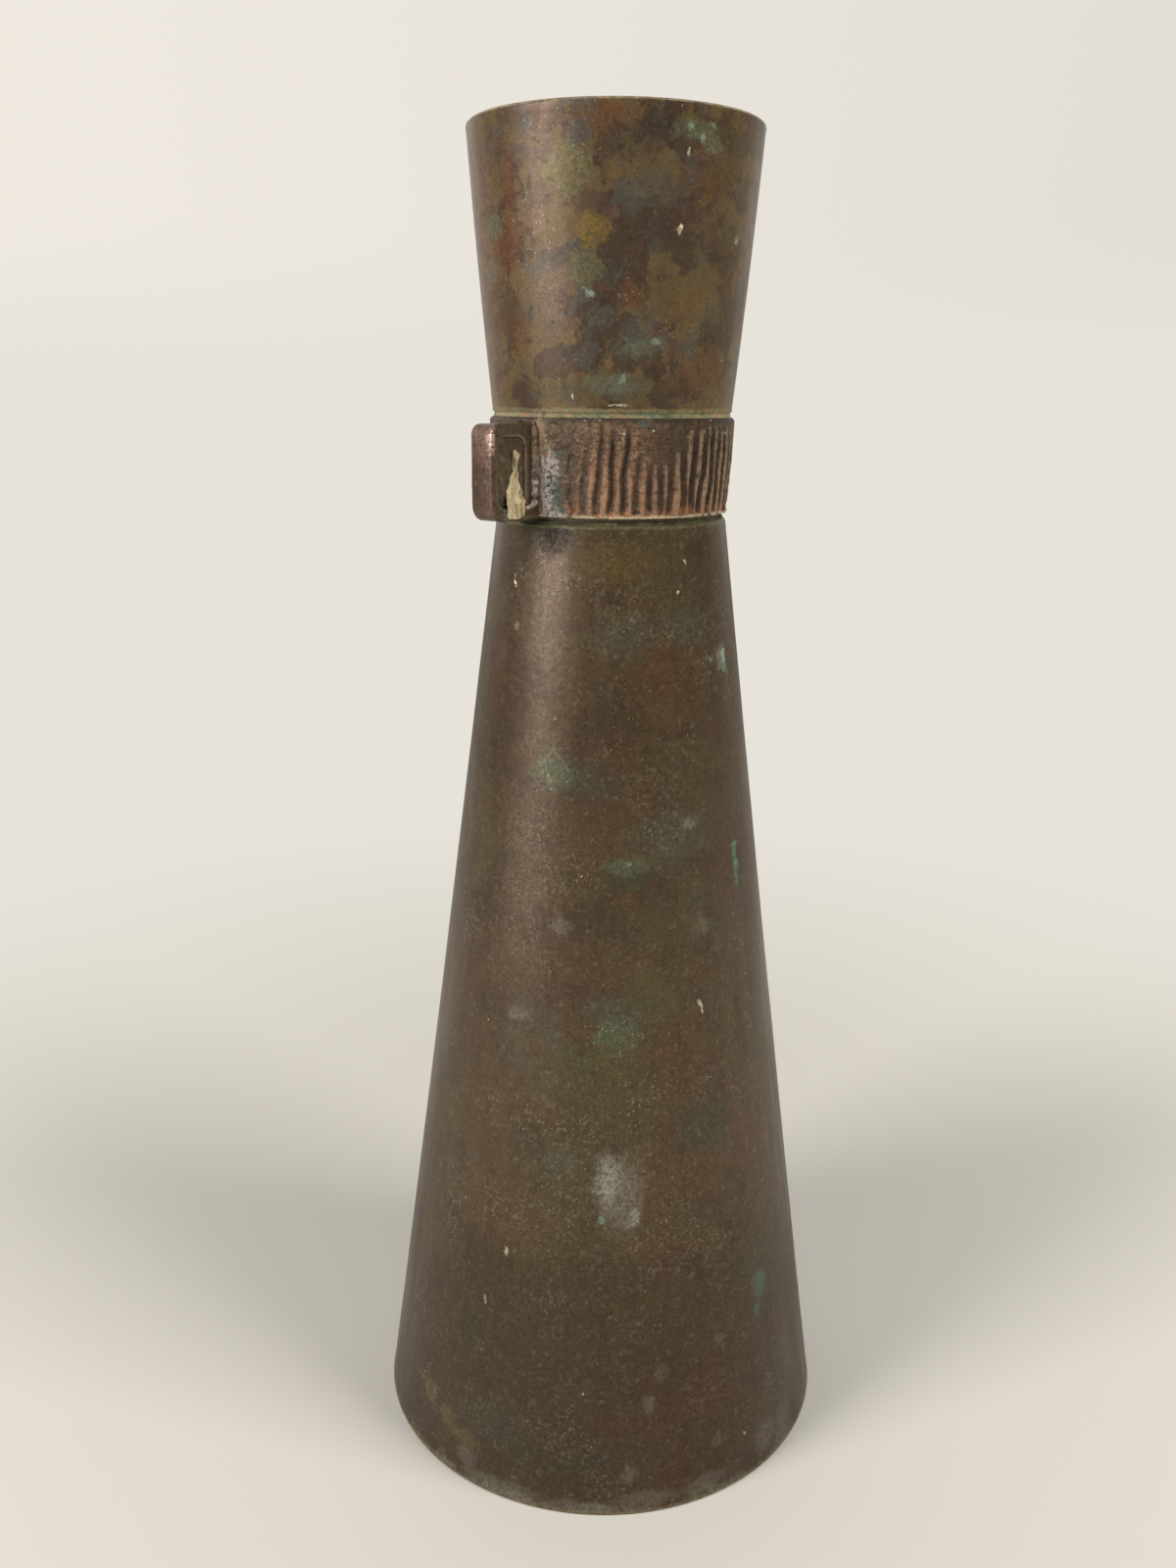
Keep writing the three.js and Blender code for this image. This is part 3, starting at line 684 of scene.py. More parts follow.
# Tint, amount, softness, powder, and the marks: angle, level, half width, half height
body_marks = [
    (REDDISH, 0.4, 0.6, 0, [
        (-108.7, 187.7, 9, 9.5), (169.5, 187.6, 3.8, 9.3), (-175.7, 82.1, 6.8, 18), (-80.9, 77.5, 7, 13),
    ]),
    # These pale mauve marks down the left of the body are a painted highlight tint.
    ("#74645a", 0.35, 0.8, 0, [(-167, 200, 4.6, 24), (-166, 150, 6, 34)]),
    # This very dark, matt mark just under the ear is a painted shadow of the ear.
    ("#17110d", 1, 0.6, 1, [(-163.5, 218.8, 4.2, 3.8)]),
    ("#4c4b2d", 0.65, 0.5, 0.05, [(-137, 103.5, 11, 9), (-120, 120, 6, 7), (-85.4, 52.4, 8, 4.6)]),
    (OCHRE, 0.55, 0.55, 0, [(-132.9, 213.3, 6.5, 4.2), (165.5, 55.6, 7, 8.5)]),
    (ORANGE_BROWN, 0.55, 0.5, 0, [(-106.4, 23.3, 3.6, 2.6)]),
    (DARK_GREEN, 0.6, 0.5, 0.1, [
        (-143, 167.8, 5.2, 4.2), (-105, 90.5, 7.6, 5.8), (-146.6, 12.9, 13, 5.6), (-128.4, 147, 5.5, 2),
        (-174.4, 38.6, 4.4, 5.9), (-84.7, 38.4, 5.2, 3.2),
    ]),
    (GREY_GREEN, 0.6, 0.5, 0.2, [
        (-130.6, 198.4, 6.6, 4.6), (-101.4, 199.7, 6, 4), (-111.1, 156.1, 9, 4.8), (-165.8, 18.1, 10, 7),
        (-134, 118.7, 6.4, 3.3), (-149.6, 84, 4.5, 3.4), (-78.4, 17.9, 7.6, 8), (-84.7, 47.6, 5, 7),
    ]),
    ("#545f49", 0.70, 0.35, 0.2, [
        (-157.6, 169.2, 5.4, 3.2), (-128.4, 149.9, 5.2, 2), (-132.6, 113, 4.8, 4),
    ]),
    (BLOOM, 0.40, 0.75, 0.7, [
        (-151.7, 136.6, 2.3, 1.5), (-100.8, 134.9, 1.9, 1.6), (-165.3, 115.6, 2.6, 1.3),
        (-120.4, 34, 1.3, 2),
    ]),
    (BLOOM, 0.60, 0.50, 0.7, [
        (-104.2, 158.1, 1.8, 1.5), (178.7, 198.8, 0.9, 1), (-80, 192, 1.8, 2), (-102.6, 38, 1.3, 1.1),
        (-123.7, 26.9, 1.5, 2.2), (-105.3, 13.1, 1.4, 1.3), (-128.8, 9.7, 2, 2.2), (-161.5, 2.4, 10, 2),
        (-172, 6, 3, 2.6), (-141.4, 2, 9, 1.4), (-124.8, 3.6, 6.4, 1.7), (-109.2, 4.1, 6, 1.8),
        (-89.1, 6.9, 3.4, 4.4), (-80, 5, 4, 5),
    ]),
    ("#7b6d48", 0.7, 0.5, 0.3, [(173, 15.4, 2.4, 3.2), (180, 13, 3, 2.6), (-173.2, 10.7, 3.6, 2)]),
    ("#827e70", 0.62, 0.6, 0.8, [(-131.2, 77, 4.6, 7.6)]),
    ("#a09d90", 0.62, 0.6, 0.8, [(-135.4, 80, 2.6, 5), (-127.5, 71, 1.2, 2)]),
    (VERDIGRIS, 0.75, 0.35, 0.7, [
        (-76.8, 191, 1.3, 2.6), (-87.8, 192.4, 0.8, 0.6), (-80.1, 150.5, 1.3, 0.7), (-80.4, 146, 1.3, 4.4),
        (-128.4, 150.6, 0.6, 0.5), (-136.4, 71.4, 0.9, 1.2), (-86, 45.2, 2.6, 3.4), (-88.5, 39.5, 1.4, 1.6),
    ]),
    ("#a3b9a2", 0.85, 0.3, 0.8, [(-76.4, 192, 0.7, 1.7), (-88, 192.5, 0.4, 0.4)]),
    (CREAM, 0.95, 0.3, 1, [
        (175.3, 208.2, 0.28, 1.2), (-105.8, 206.6, 0.28, 0.34), (-100.1, 213, 0.24, 0.5),
        (-164.1, 60, 0.6, 1.2), (-170.1, 46.7, 0.4, 1.1), (-96.6, 11.2, 0.5, 0.5),
        (-103.5, 117.5, 0.5, 1.5),
    ]),
]
# Tint, amount, powder, patch size, seed, and the levels where the edge's scale starts and is full
body_edges_and_shade = [
    # This first row is a painted shade: it darkens the body from 120 mm down towards the foot.
    ("#35271b", 0.56, 0, 30, 100, 120 * mm, 10 * mm),
    ("#767363", 0.70, 0.5, 7, 101, 9 * mm, -5 * mm),
    ("#85734a", 0.60, 0.2, 4, 102, 2 * mm, 0.2 * mm),
    ("#6c6b4b", 0.75, 0.3, 2.5, 103, shoulder_level - 1.6 * mm, shoulder_level),
]
# Tint, amount, strokes too or not, spacing, share, size, seed, and the marks, or None for clusters all over
body_specks = [
    ("#929d86", 0.50, False, 1, 0.40, 0.55, 0.43, [
        (-126.9, 96.7, 7, 6), (-132.4, 112.8, 6, 6), (-157, 169, 6, 4), (-130.6, 198.4, 6, 5),
    ]),
    (GOLD, 0.44, False, 0.8, 0.30, 0.42, 0.11, [
        (-133, 108, 13, 24), (-112, 96, 10, 26), (-148, 76, 10, 14), (-128, 176, 8, 12),
    ]),
    ("#69977d", 0.85, False, 1.4, 0.35, 0.65, 0.37, [(-79.7, 109.1, 1.4, 28)]),
    ("#8f8570", 0.32, True, 1.1, 0.25, 0.45, 0.53, None),
]
body_copper = coloured_copper(
    "hot_coloured_copper_body", BROWN, body_clouds, body_marks, body_edges_and_shade, body_specks, 1.0
)
placed(bm, "conical_body", [body_copper, inside], "lower_body")

# %% [markdown]
# The neck
# A short flared tube with a softly rounded lip, turned from its own outline in the same way. Its thin
# spigot goes down inside the band.

# %% Neck shape
def neck_wall(level):
    """Thickness of the neck's wall, which thins from the seam to the mouth."""
    share = (level - neck_bottom) / (mouth_level - neck_bottom)
    start = NECK_RADIUS - bore_radius
    return start + (MOUTH_WALL - start) * math.sqrt(share)


lip_level = mouth_level - LIP_ROUND
neck_outline = [
    (spigot_radius, upper_spigot_end),
    (spigot_radius, neck_bottom),
    *[(neck_radius(z), z) for z in levels(neck_bottom, lip_level - 1.2 * mm, 1.2 * mm)],
    *arc(mouth_radius - LIP_ROUND, lip_level, LIP_ROUND, 0, 90),
    *arc(mouth_radius - MOUTH_WALL + LIP_ROUND, lip_level, LIP_ROUND, 90, 180),
    *[(neck_radius(z) - neck_wall(z), z) for z in reversed(levels(neck_bottom, lip_level - 4 * mm, 4 * mm))],
    (bore_radius, upper_spigot_end),
]
bm = spun(neck_outline, BODY_STEPS)
hand_turned(bm, neck_radius, 0.4 * mm, neck_bottom + 0.5 * mm, 1, 30 * mm, 9 * mm, 3)
line_inside(bm)
print("outline of", len(neck_outline), "points")

# %% [markdown]
# The neck's colours
# Its patina is the same finish with crisper clouds, like a map, because here the skin was dabbed on. That
# needs nothing new, only cuts that lie closer together and a pale line round the mouth, a painted highlight
# on the lip.

# %% Neck finish
# The columns are those of the body's tables.
neck_clouds = [
    ("#64543a", 0.85, 42, 11, 0.42, 0.56, 3, 0.50),
    ("#554136", 0.80, 20, 12, 0.49, 0.53, 4, 0.60),
    ("#68593b", 0.75, 10, 13, 0.505, 0.525, 3, 0.50),
    ("#45382e", 0.85, 9, 14, 0.530, 0.550, 3, 0.50),
    ("#50504a", 0.55, 7, 15, 0.560, 0.580, 3, 0.55),
    ("#6f5b30", 0.60, 5, 16, 0.600, 0.620, 3, 0.55),
    ("#643f28", 0.50, 4, 18, 0.610, 0.635, 3, 0.55),
    ("#3a2f27", 0.65, 2.6, 17, 0.600, 0.625, 3, 0.50),
]
neck_marks = [
    ("#84623f", 0.50, 0.8, 0, [(158, 270, 8, 36)]),
    ("#6e5b3f", 0.55, 0.8, 0, [(-82, 280, 11, 30)]),
    # This mauve mark and the mauve-grey one below are a painted highlight tint in the neck's highlight.
    ("#7a6159", 0.30, 0.8, 0, [(-165, 272, 5, 30)]),
    ("#6b3f2a", 0.8, 0.4, 0, [(178.6, 283, 2, 9), (177, 275, 3.4, 4.4), (-139.3, 296.4, 3.8, 3.2)]),
    ("#6f5d57", 0.45, 0.6, 0, [(-161.9, 266.1, 6, 5.4)]),
    # This dark olive band along the neck's foot is partly the patina's colour and partly a painted shade that
    # dims the highlight there.
    ("#4a3c22", 0.55, 0.7, 0, [(-142, 247.3, 24, 3.6)]),
    ("#44372d", 0.70, 0.25, 0, [
        (-130.4, 292.6, 7, 3.2), (-136.7, 272.9, 1.6, 3.4), (-104, 271.1, 1.5, 1.2), (-92.6, 273, 1.9, 1.2),
        (-117, 276.5, 8, 2.6),
    ]),
    ("#66522f", 0.65, 0.3, 0, [(-113.2, 264.6, 9, 3.6), (-91.8, 287.6, 4.6, 3.2)]),
    ("#6f6a48", 0.70, 0.3, 0, [(-148.3, 270.4, 3.8, 3.4), (-154.5, 287.5, 4.4, 4.8)]),
    ("#7f672f", 0.80, 0.3, 0, [(-144.6, 277, 3, 3.2)]),
    (ORANGE_BROWN, 0.6, 0.4, 0, [
        (-129.6, 265.7, 2.3, 2.7), (-91.7, 251.2, 6.5, 3.2), (-179.8, 258.5, 2.6, 5),
    ]),
    ("#504f45", 0.70, 0.3, 0.1, [
        (-123, 284.2, 6.8, 3.3), (-130.1, 282.1, 2.8, 2.2), (-141.6, 261.3, 2.9, 2.2),
        (-127.6, 259, 2.4, 1.9), (-135.2, 248.1, 5.4, 2.2), (-164, 271.5, 2.6, 2),
    ]),
    ("#66694f", 0.75, 0.3, 0.2, [(167.5, 278.7, 3, 2.6), (-105.7, 295.1, 5, 1.7), (-99, 293, 2.2, 2.4)]),
    ("#6d7560", 0.42, 0.5, 0.3, [
        (163.6, 270, 1.9, 2.4), (-124.5, 255.4, 4.8, 1.6), (-139, 248.8, 4.4, 1.8),
    ]),
    ("#82977c", 0.75, 0.4, 0.7, [
        (-98.4, 296, 0.9, 0.7), (-103.4, 293.7, 0.7, 0.7), (-109.5, 295.6, 0.6, 0.8),
        (-118.6, 256.2, 0.8, 0.6), (-132.3, 249.5, 0.8, 0.6), (-80, 276.6, 0.9, 1.1),
        (-146, 265.9, 0.7, 0.9),
    ]),
    (CREAM, 0.95, 0.3, 1, [
        (-108.8, 291.2, 0.3, 1), (-110.8, 277.4, 0.7, 0.7), (-133.4, 244.4, 2.4, 0.3),
        (-154, 246, 0.2, 0.7),
    ]),
]
neck_edges = [
    # This pale line round the mouth is a painted highlight on the lip.
    ("#b9a588", 0.75, 0, 6, 104, mouth_level - 0.8 * mm, mouth_level - 0.2 * mm),
    ("#857c58", 0.70, 0.4, 3, 105, neck_bottom + 1.6 * mm, neck_bottom),
]
neck_specks = [
    (PALE_GREEN, 0.45, False, 1.6, 0.40, 0.7, 0.13, [
        (-78, 284, 4, 16), (-80, 256, 4, 10), (-124, 255, 7, 3), (-104, 294, 7, 4),
    ]),
    (VERDIGRIS, 0.45, False, 1.8, 0.30, 0.6, 0.31, [(-122, 255, 6, 2.6), (-100.5, 295.4, 3.4, 1.6)]),
    ("#9a8a5c", 0.6, False, 2.2, 0.20, 0.6, 0.59, None),
]
neck_copper = coloured_copper(
    "hot_coloured_copper_neck", "#66543a", neck_clouds, neck_marks, neck_edges, neck_specks, 0.5
)
placed(bm, "flared_neck", [neck_copper, inside], "upper_neck")

# %% [markdown]
# The ribbed band
# The band was cast rough and then cut by hand with upright grooves, so no two are alike. They lean, wander
# and some run out half way up. A Boolean cut for each would leave slots as if from a machine, so here each
# groove presses in the points near its own wandering line. The grooves on the photographed side stand where
# the real ones do, and the rest are spaced like them.

# %% Grooves
EAR_ANGLE = 180.0
PLAIN_HALF = 27.0  # degrees each side of the ear that have no grooves
GROOVE_STEP = 6.0  # degrees
GROOVE_DEPTH = 0.70 * mm
GROOVE_WIDTH = 1.75 * mm

# Angle low down, angle near the top, how far up the groove runs, depth and width as shares of the usual ones
grooves = [
    (-155.3, -154.8, 0.80, 0.35, 1.2),
    (-149.4, -145.9, 0.85, 0.60, 1.1),
    (-142.8, -141.0, 1.00, 0.90, 1.0),
    (-136.9, -135.6, 0.95, 1.00, 1.0),
    (-130.9, -128.8, 1.00, 1.00, 1.1),
    (-124.8, -123.8, 0.70, 0.75, 1.0),
    (-119.0, -119.6, 0.62, 0.90, 1.0),
    (-112.9, -114.6, 0.58, 0.85, 0.9),
    (-107.9, -109.4, 0.60, 0.80, 1.0),
    (-101.1, -103.2, 0.72, 0.80, 1.1),
    (-96.0, -95.3, 0.95, 1.00, 1.1),
    (-90.4, -89.4, 0.95, 1.00, 1.0),
    (-84.0, -83.6, 1.00, 1.05, 1.0),
    (-77.7, -78.6, 0.95, 1.05, 1.0),
    (-71.3, -73.4, 0.95, 1.00, 1.0),
]
dice = np.random.default_rng(19)
angle = grooves[-1][0] + GROOVE_STEP
while angle < EAR_ANGLE - PLAIN_HALF:
    lean = dice.uniform(-2.5, 2.5)
    run = dice.choice([0.6, 0.75, 0.95, 1.0])
    grooves.append((angle, angle + lean, run, dice.uniform(0.8, 1.05), dice.uniform(0.9, 1.15)))
    angle += dice.uniform(5.3, 6.7)
print(len(grooves), "grooves")

# %% [markdown]
# The drum
# The band starts as a turned drum. Its outside has a point every 0.3 mm upwards and every 0.4 degrees
# round, so a groove is several points wide. Inside are the two sockets and the web between them.

# %% The drum
BAND_PROUD = 0.2 * mm
BAND_FLARE = 1.2 * mm
BAND_CHAMFER = 0.6 * mm
BAND_STEPS = 960
band_height = band_top - band_bottom


def band_radius(level):
    """Crests of the ribs, which widen towards the top."""
    share = min(1.0, max(0.0, (level - band_bottom) / band_height))
    return SHOULDER_RADIUS + BAND_PROUD + BAND_FLARE * math.sin(share * math.pi / 2)


band_outline = [
    *[(band_radius(z), z) for z in levels(band_bottom, band_top - BAND_CHAMFER, 0.30 * mm)],
    (band_radius(band_top) - 0.5 * BAND_CHAMFER, band_top - 0.4 * BAND_CHAMFER),
    (band_radius(band_top) - BAND_CHAMFER, band_top),
    (socket_radius, band_top),
    (socket_radius, upper_spigot_end),
    (bore_radius, upper_spigot_end),
    (bore_radius, lower_spigot_top),
    (socket_radius, lower_spigot_top),
    (socket_radius, band_bottom),
]
bm = spun(band_outline, BAND_STEPS)
groove_kept = bm.verts.layers.float.new("groove")
ridge_kept = bm.verts.layers.float.new("ridge")
print("drum of", len(bm.verts), "points")

# %% [markdown]
# Cutting the grooves
# The sums are done for all points of the drum at once. Each groove is a soft trough round its line, and
# beside the grooves stand raised crests. The lower edge has a thin cast lip and one scrap of flash. Every
# point then moves in by its groove and by the pits and crumbs of the casting. How deep it lies in a groove,
# and how near a crest, is kept on the mesh for the finish to use.

# %% Band shape
LIP_HEIGHT = 0.3 * mm
FLASH_ANGLE = -64.0  # where a scrap of casting flash stands on the lower edge
FLASH_HEIGHT = 0.45 * mm
PIT_DEPTH = 0.5 * mm
arc_per_degree = math.radians(1) * 26 * mm


def eased(x, start, end):
    """Smooth step from 0 at start to 1 at end."""
    t = np.clip((x - start) / (end - start), 0, 1)
    return t * t * (3 - 2 * t)


skin = [v for v in bm.verts if v.co.xy.length > socket_radius + 0.5 * mm]
points = np.array([v.co for v in skin])
turns = np.degrees(np.arctan2(points[:, 1], points[:, 0]))
rise = (points[:, 2] - band_bottom) / band_height
groove = np.zeros(len(skin))
apart = np.full(len(skin), 9 * mm)
for number, (low_angle, high_angle, run, depth, width) in enumerate(grooves):
    wander = 0.45 * np.sin(5 * rise + 2.1 * number) + 0.25 * np.sin(13 * rise + 1.3 * number)
    middle = low_angle + (high_angle - low_angle) * eased(rise, 0.1, 0.9) + wander
    off_line = (turns - middle + 180) % 360 - 180
    half = width * GROOVE_WIDTH / 2 * (1.15 - 0.35 * rise) / arc_per_degree
    run_out = 1 - 0.85 * eased(rise, run - 0.25, run)
    along = eased(rise, 0.02, 0.06) * run_out * (1 - eased(rise, 0.90, 0.97))
    groove = np.maximum(groove, depth * along * np.clip(1 - (off_line / half) ** 2, 0, 1) ** 1.3)
    apart = np.where(along > 0.3, np.minimum(apart, np.abs(off_line) * arc_per_degree), apart)

from_ear = np.abs((turns - EAR_ANGLE + 180) % 360 - 180)
beside_ear = 1 - eased(from_ear, PLAIN_HALF - 4, PLAIN_HALF + 10)
crest = eased(apart, 0.75 * mm, 1.15 * mm) * (1 - eased(apart, 1.6 * mm, 2.1 * mm))
ridge = crest * (1 - beside_ear) * (1 - eased(rise, 0.85, 0.97))
lip = 1 - eased(rise, 0.01, 0.04)
flash = np.exp(-(((turns - FLASH_ANGLE) / 1.3) ** 2)) * (1 - eased(rise, 0.05, 0.09))
for vert, deep, high, plain, low, flashed in zip(skin, groove, ridge, beside_ear, lip, flash):
    vert[groove_kept] = deep
    vert[ridge_kept] = high
    spot = vert.co.copy()
    crumbs = abs(ripple(Vector((spot.x, spot.y, 2.4 * spot.z)), 0.9 * mm, 9))
    coarse = 0.09 * mm * (1 + ripple(spot, 3.2 * mm, 5))
    fine = 0.07 * mm * (1 + ripple(spot, 1.0 * mm, 6))
    pitted = max(0.0, ripple(spot, 1.5 * mm, 7) - 0.15) * (0.45 + 1.1 * plain)
    raised = LIP_HEIGHT * low * (0.6 + 0.9 * ripple(spot, 2.0 * mm, 8)) + FLASH_HEIGHT * flashed
    cut = GROOVE_DEPTH * deep + PIT_DEPTH * pitted + coarse + fine + 0.20 * mm * crumbs
    vert.co.xy *= 1 + (raised - cut) / spot.xy.length
line_inside(bm)
print("deepest groove:", round(GROOVE_DEPTH * groove.max() / mm, 2), "mm")

# %% [markdown]
# Cast copper, cut and worn
# The band and ear are rough cast copper. Handling has rubbed the crests of the ribs back to a warm reddish
# metal, with a painted highlight on the crests to the right, while the grooves are drawn darker. Damp has
# left cream and green scale along the edges. The finish reads the groove and ridge values from the mesh, and
# lays the skin's browns, the rubbed places, dirt and darker grooves, and last scale and crust over each
# other.

# %% Cast copper band finish
def cast_bumps(tree, spot, strength):
    """The pitted skin of a sand casting: bumps of a few tenths of a millimetre, and smaller pits on them."""
    coarse = patches(tree, spot, 1.4, 61, 0.25, 0.75, 4, 0.7)
    fine = patches(tree, spot, 0.6, 62, 0.3, 0.7, 3, 0.7)
    return [(coarse, 0.2, strength), (fine, 0.1, strength)]


band_cast, tree, spot = new_material("sand_cast_copper_band")
grain = add(tree, "ShaderNodeTexNoise", {"Vector": spot, **GRAIN}).outputs["Fac"]
depth = add(tree, "ShaderNodeAttribute", attribute_name="groove").outputs["Fac"]
crests = add(tree, "ShaderNodeAttribute", attribute_name="ridge").outputs["Fac"]
crosswise = add(tree, "ShaderNodeMapping", {"Vector": spot, "Scale": (1, 1, 3)}).outputs[0]
wide_edge = ragged(tree, spot, 4, 4)
rough_edge = ragged(tree, spot, 2, 3)

# The browns of the skin, redder low on the left and darker on the right
colour = clouded(tree, spot, "#5c4935", [("#71573f", 0.8, 5, 21, 0.42, 0.60)])
red_part = marks(tree, ragged(tree, spot, 4, 5), grain, [(-130, 230, 9.5, 8), (-108, 226, 6, 4)], 0.6)
colour = over(tree, colour, "#8a604a", 0.85, red_part, patches(tree, spot, 2, 27, 0.40, 0.56))
colour = clouded(tree, spot, colour, [("#93765a", 0.65, 1.0, 23, 0.54, 0.62, 4, 0.65)])
right_side = marks(tree, wide_edge, grain, [(-84, 233, 13, 13)], 0.5)
colour = over(tree, colour, "#392c20", 0.55, right_side)
colour = over(tree, colour, "#45382c", 0.65, marks(tree, wide_edge, grain, [(-108, 236.5, 6, 6)], 0.6))

# Rubbed crests, dirt across them, darker grooves, and a painted highlight on the crests to the right
colour = over(tree, colour, "#8d7257", 0.55, crests, patches(tree, spot, 1.4, 28, 0.44, 0.56))
colour = clouded(tree, crosswise, colour, [("#3a2d21", 0.62, 1.3, 34, 0.48, 0.58, 4, 0.65)])
# On the right, these pale crest lines are partly rubbed metal and partly a painted highlight.
colour = over(tree, colour, "#9d876b", 0.5, crests, right_side, patches(tree, crosswise, 3, 35, 0.36, 0.5))
colour = clouded(tree, spot, colour, [("#30241a", 0.70, 0.9, 29, 0.52, 0.60, 4, 0.65)])
colour = over(tree, colour, "#30251b", 0.85, depth)
lower_half = between(tree, spot, 2, band_bottom + 14 * mm, band_bottom + 5 * mm)
worn = patches(tree, spot, 1.6, 38, 0.38, 0.54, 4, 0.65)
colour = over(tree, colour, "#a07d62", 0.6, crests, lower_half, worn)
low_ends = between(tree, spot, 2, band_bottom + 3.4 * mm, band_bottom + 0.8 * mm)
colour = over(tree, colour, "#a3704f", 0.6, low_ends, patches(tree, spot, 2.0, 24, 0.46, 0.58))

# Cream scale on the lip, a dark upper edge, and the painted shade and the dust beside the ear
lip_zone = between(tree, ragged(tree, spot, 1.2, 1.2), 2, band_bottom + 0.9 * mm, band_bottom + 0.3 * mm)
lip_cut = patches(tree, spot, 1.4, 25, 0.36, 0.52)
lip_scale = add(tree, "ShaderNodeMath", {0: lip_zone, 1: lip_cut}, operation="MULTIPLY").outputs[0]
colour = over(tree, colour, "#a8977a", 0.85, lip_scale)
edge = between(tree, spot, 2, band_top - 1.6 * mm, band_top - 0.5 * mm)
colour = over(tree, colour, "#3a3024", 0.8, edge, patches(tree, spot, 2.0, 30, 0.35, 0.50))
shaded = marks(tree, rough_edge, grain, [(-160.5, 230.5, 4.2, 9.0)], 0.7)
colour = over(tree, colour, "#372c22", 0.7, shaded, patches(tree, spot, 1.6, 37, 0.34, 0.52))
tan_part = marks(tree, rough_edge, grain, [(-167.5, 238.0, 1.8, 4.0)], 0.6)
colour = over(tree, colour, "#83745a", 0.7, tan_part, patches(tree, spot, 1.2, 36, 0.42, 0.56))

# Green corrosion, the grey crust that lies over it, and painted glints near the top
green_places = [
    (-163.6, 226.4, 2, 4.2), (-162, 223.2, 2.4, 1.2), (-160.5, 234.9, 0.9, 0.6), (-122.5, 241.2, 1.3, 0.7),
]
green = marks(tree, rough_edge, grain, green_places, 0.45)
colour = over(tree, colour, "#39443a", 0.78, green)
colour = over(tree, colour, "#4d7068", 0.45, green, patches(tree, spot, 0.7, 33, 0.54, 0.61, 3))
# This pale dust by the bead also paints light into the dark crevice between the bead and the band.
dust_and_fill_light_places = [(-171.0, 236.0, 1.4, 6.5), (-171.0, 226.0, 1.2, 4.0)]
colour = over(tree, colour, "#9c8268", 0.7, marks(tree, rough_edge, grain, dust_and_fill_light_places, 0.5))
crust_places = [
    (-167.2, 232.2, 3.2, 3.2),
    (-168.4, 226.6, 1.9, 3.6),
    (-164.5, 222.6, 2.6, 0.8),
    (-165.6, 224.5, 1.4, 1.6),
]
crust_zone = marks(tree, rough_edge, grain, crust_places, 0.5)
crust_cut = patches(tree, spot, 1.0, 26, 0.44, 0.53, 4, 0.7)
crust = add(tree, "ShaderNodeMath", {0: crust_zone, 1: crust_cut}, operation="MULTIPLY").outputs[0]
colour = over(tree, colour, "#aca4a0", 0.92, crust)
# These white flecks near the band's top are painted glints.
near_top = between(tree, spot, 2, band_top - 9 * mm, band_top - 2 * mm)
colour = over(tree, colour, "#d9d0c0", 0.75, flecks(tree, spot, 1.6, 0.30, 0.55, 0.23), near_top)

powder = powdered(tree, powdered(tree, crust, lip_scale, 1.0), green, 1.0)
surfaced(tree, colour, (0.35, 0.02, powder), (0.50, 0.75, powder), cast_bumps(tree, spot, 0.9))
placed(bm, "ribbed_band", [band_cast, inside], "waist_band", sharp=70)

# %% [markdown]
# The ear
# A flat block that stands out from the band like the handle of a much older bronze, with one pocket sunk
# into each cheek. One cheek is modelled: a rounded outline and the pocket's outline are bridged, the pocket
# is pushed in, and the outer loop is pulled to the middle plane. A mirror makes the other cheek. A Boolean
# would sink the pockets as well, but a bridge leaves clean loops of edges to round.

# %% Ear block
EAR_CORNER_ROUND = 2.5 * mm
EAR_LOW_CORNER_ROUND = 3.2 * mm
EAR_ROOT_ROUND = 0.3 * mm
EAR_EDGE_ROUND = 0.5 * mm
POCKET_EDGE_ROUND = 0.35 * mm
POCKET_DEPTH = 0.9 * mm
POCKET_ROUND = 2.0 * mm
POCKET_RIM = 2.6 * mm
POCKET_END_RIM = 1.9 * mm
ear_low, ear_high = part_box("ear")
ear_end = -ear_low.x
ear_half = ear_high.y
ear_middle = (ear_low.z + ear_high.z) / 2
ear_root = band_radius(ear_middle)
block_sides = (socket_radius + 0.4 * mm, ear_end, ear_low.z, ear_high.z)
pocket_sides = (
    ear_root + POCKET_RIM,
    ear_end - POCKET_END_RIM,
    ear_low.z + POCKET_RIM,
    ear_high.z - POCKET_RIM,
)


def rounded_box(inner, outer, low, high, low_round, outer_round, inner_round, steps=7):
    """Corner points of an upright rounded rectangle on the ear's side, as (distance from the axis, level)."""
    return [
        *arc(outer - low_round, low + low_round, low_round, -90, 0, steps),
        *arc(outer - outer_round, high - outer_round, outer_round, 0, 90, steps),
        *arc(inner + inner_round, high - inner_round, inner_round, 90, 180, steps),
        *arc(inner + inner_round, low + inner_round, inner_round, 180, 270, steps),
    ]


def loop(bm, outline, side):
    """A closed loop of edges through an outline, on the plane y = side."""
    corners = [bm.verts.new((-distance, side, level)) for distance, level in outline]
    return [bm.edges.new(pair) for pair in zip(corners, corners[1:] + corners[:1])]


def pulled(bm, edges, move):
    """Extrudes edges and moves the new ones. Returns the new edges."""
    made = bmesh.ops.extrude_edge_only(bm, edges=edges)["geom"]
    bmesh.ops.translate(bm, verts=[g for g in made if isinstance(g, bmesh.types.BMVert)], vec=move)
    return [g for g in made if isinstance(g, bmesh.types.BMEdge)]


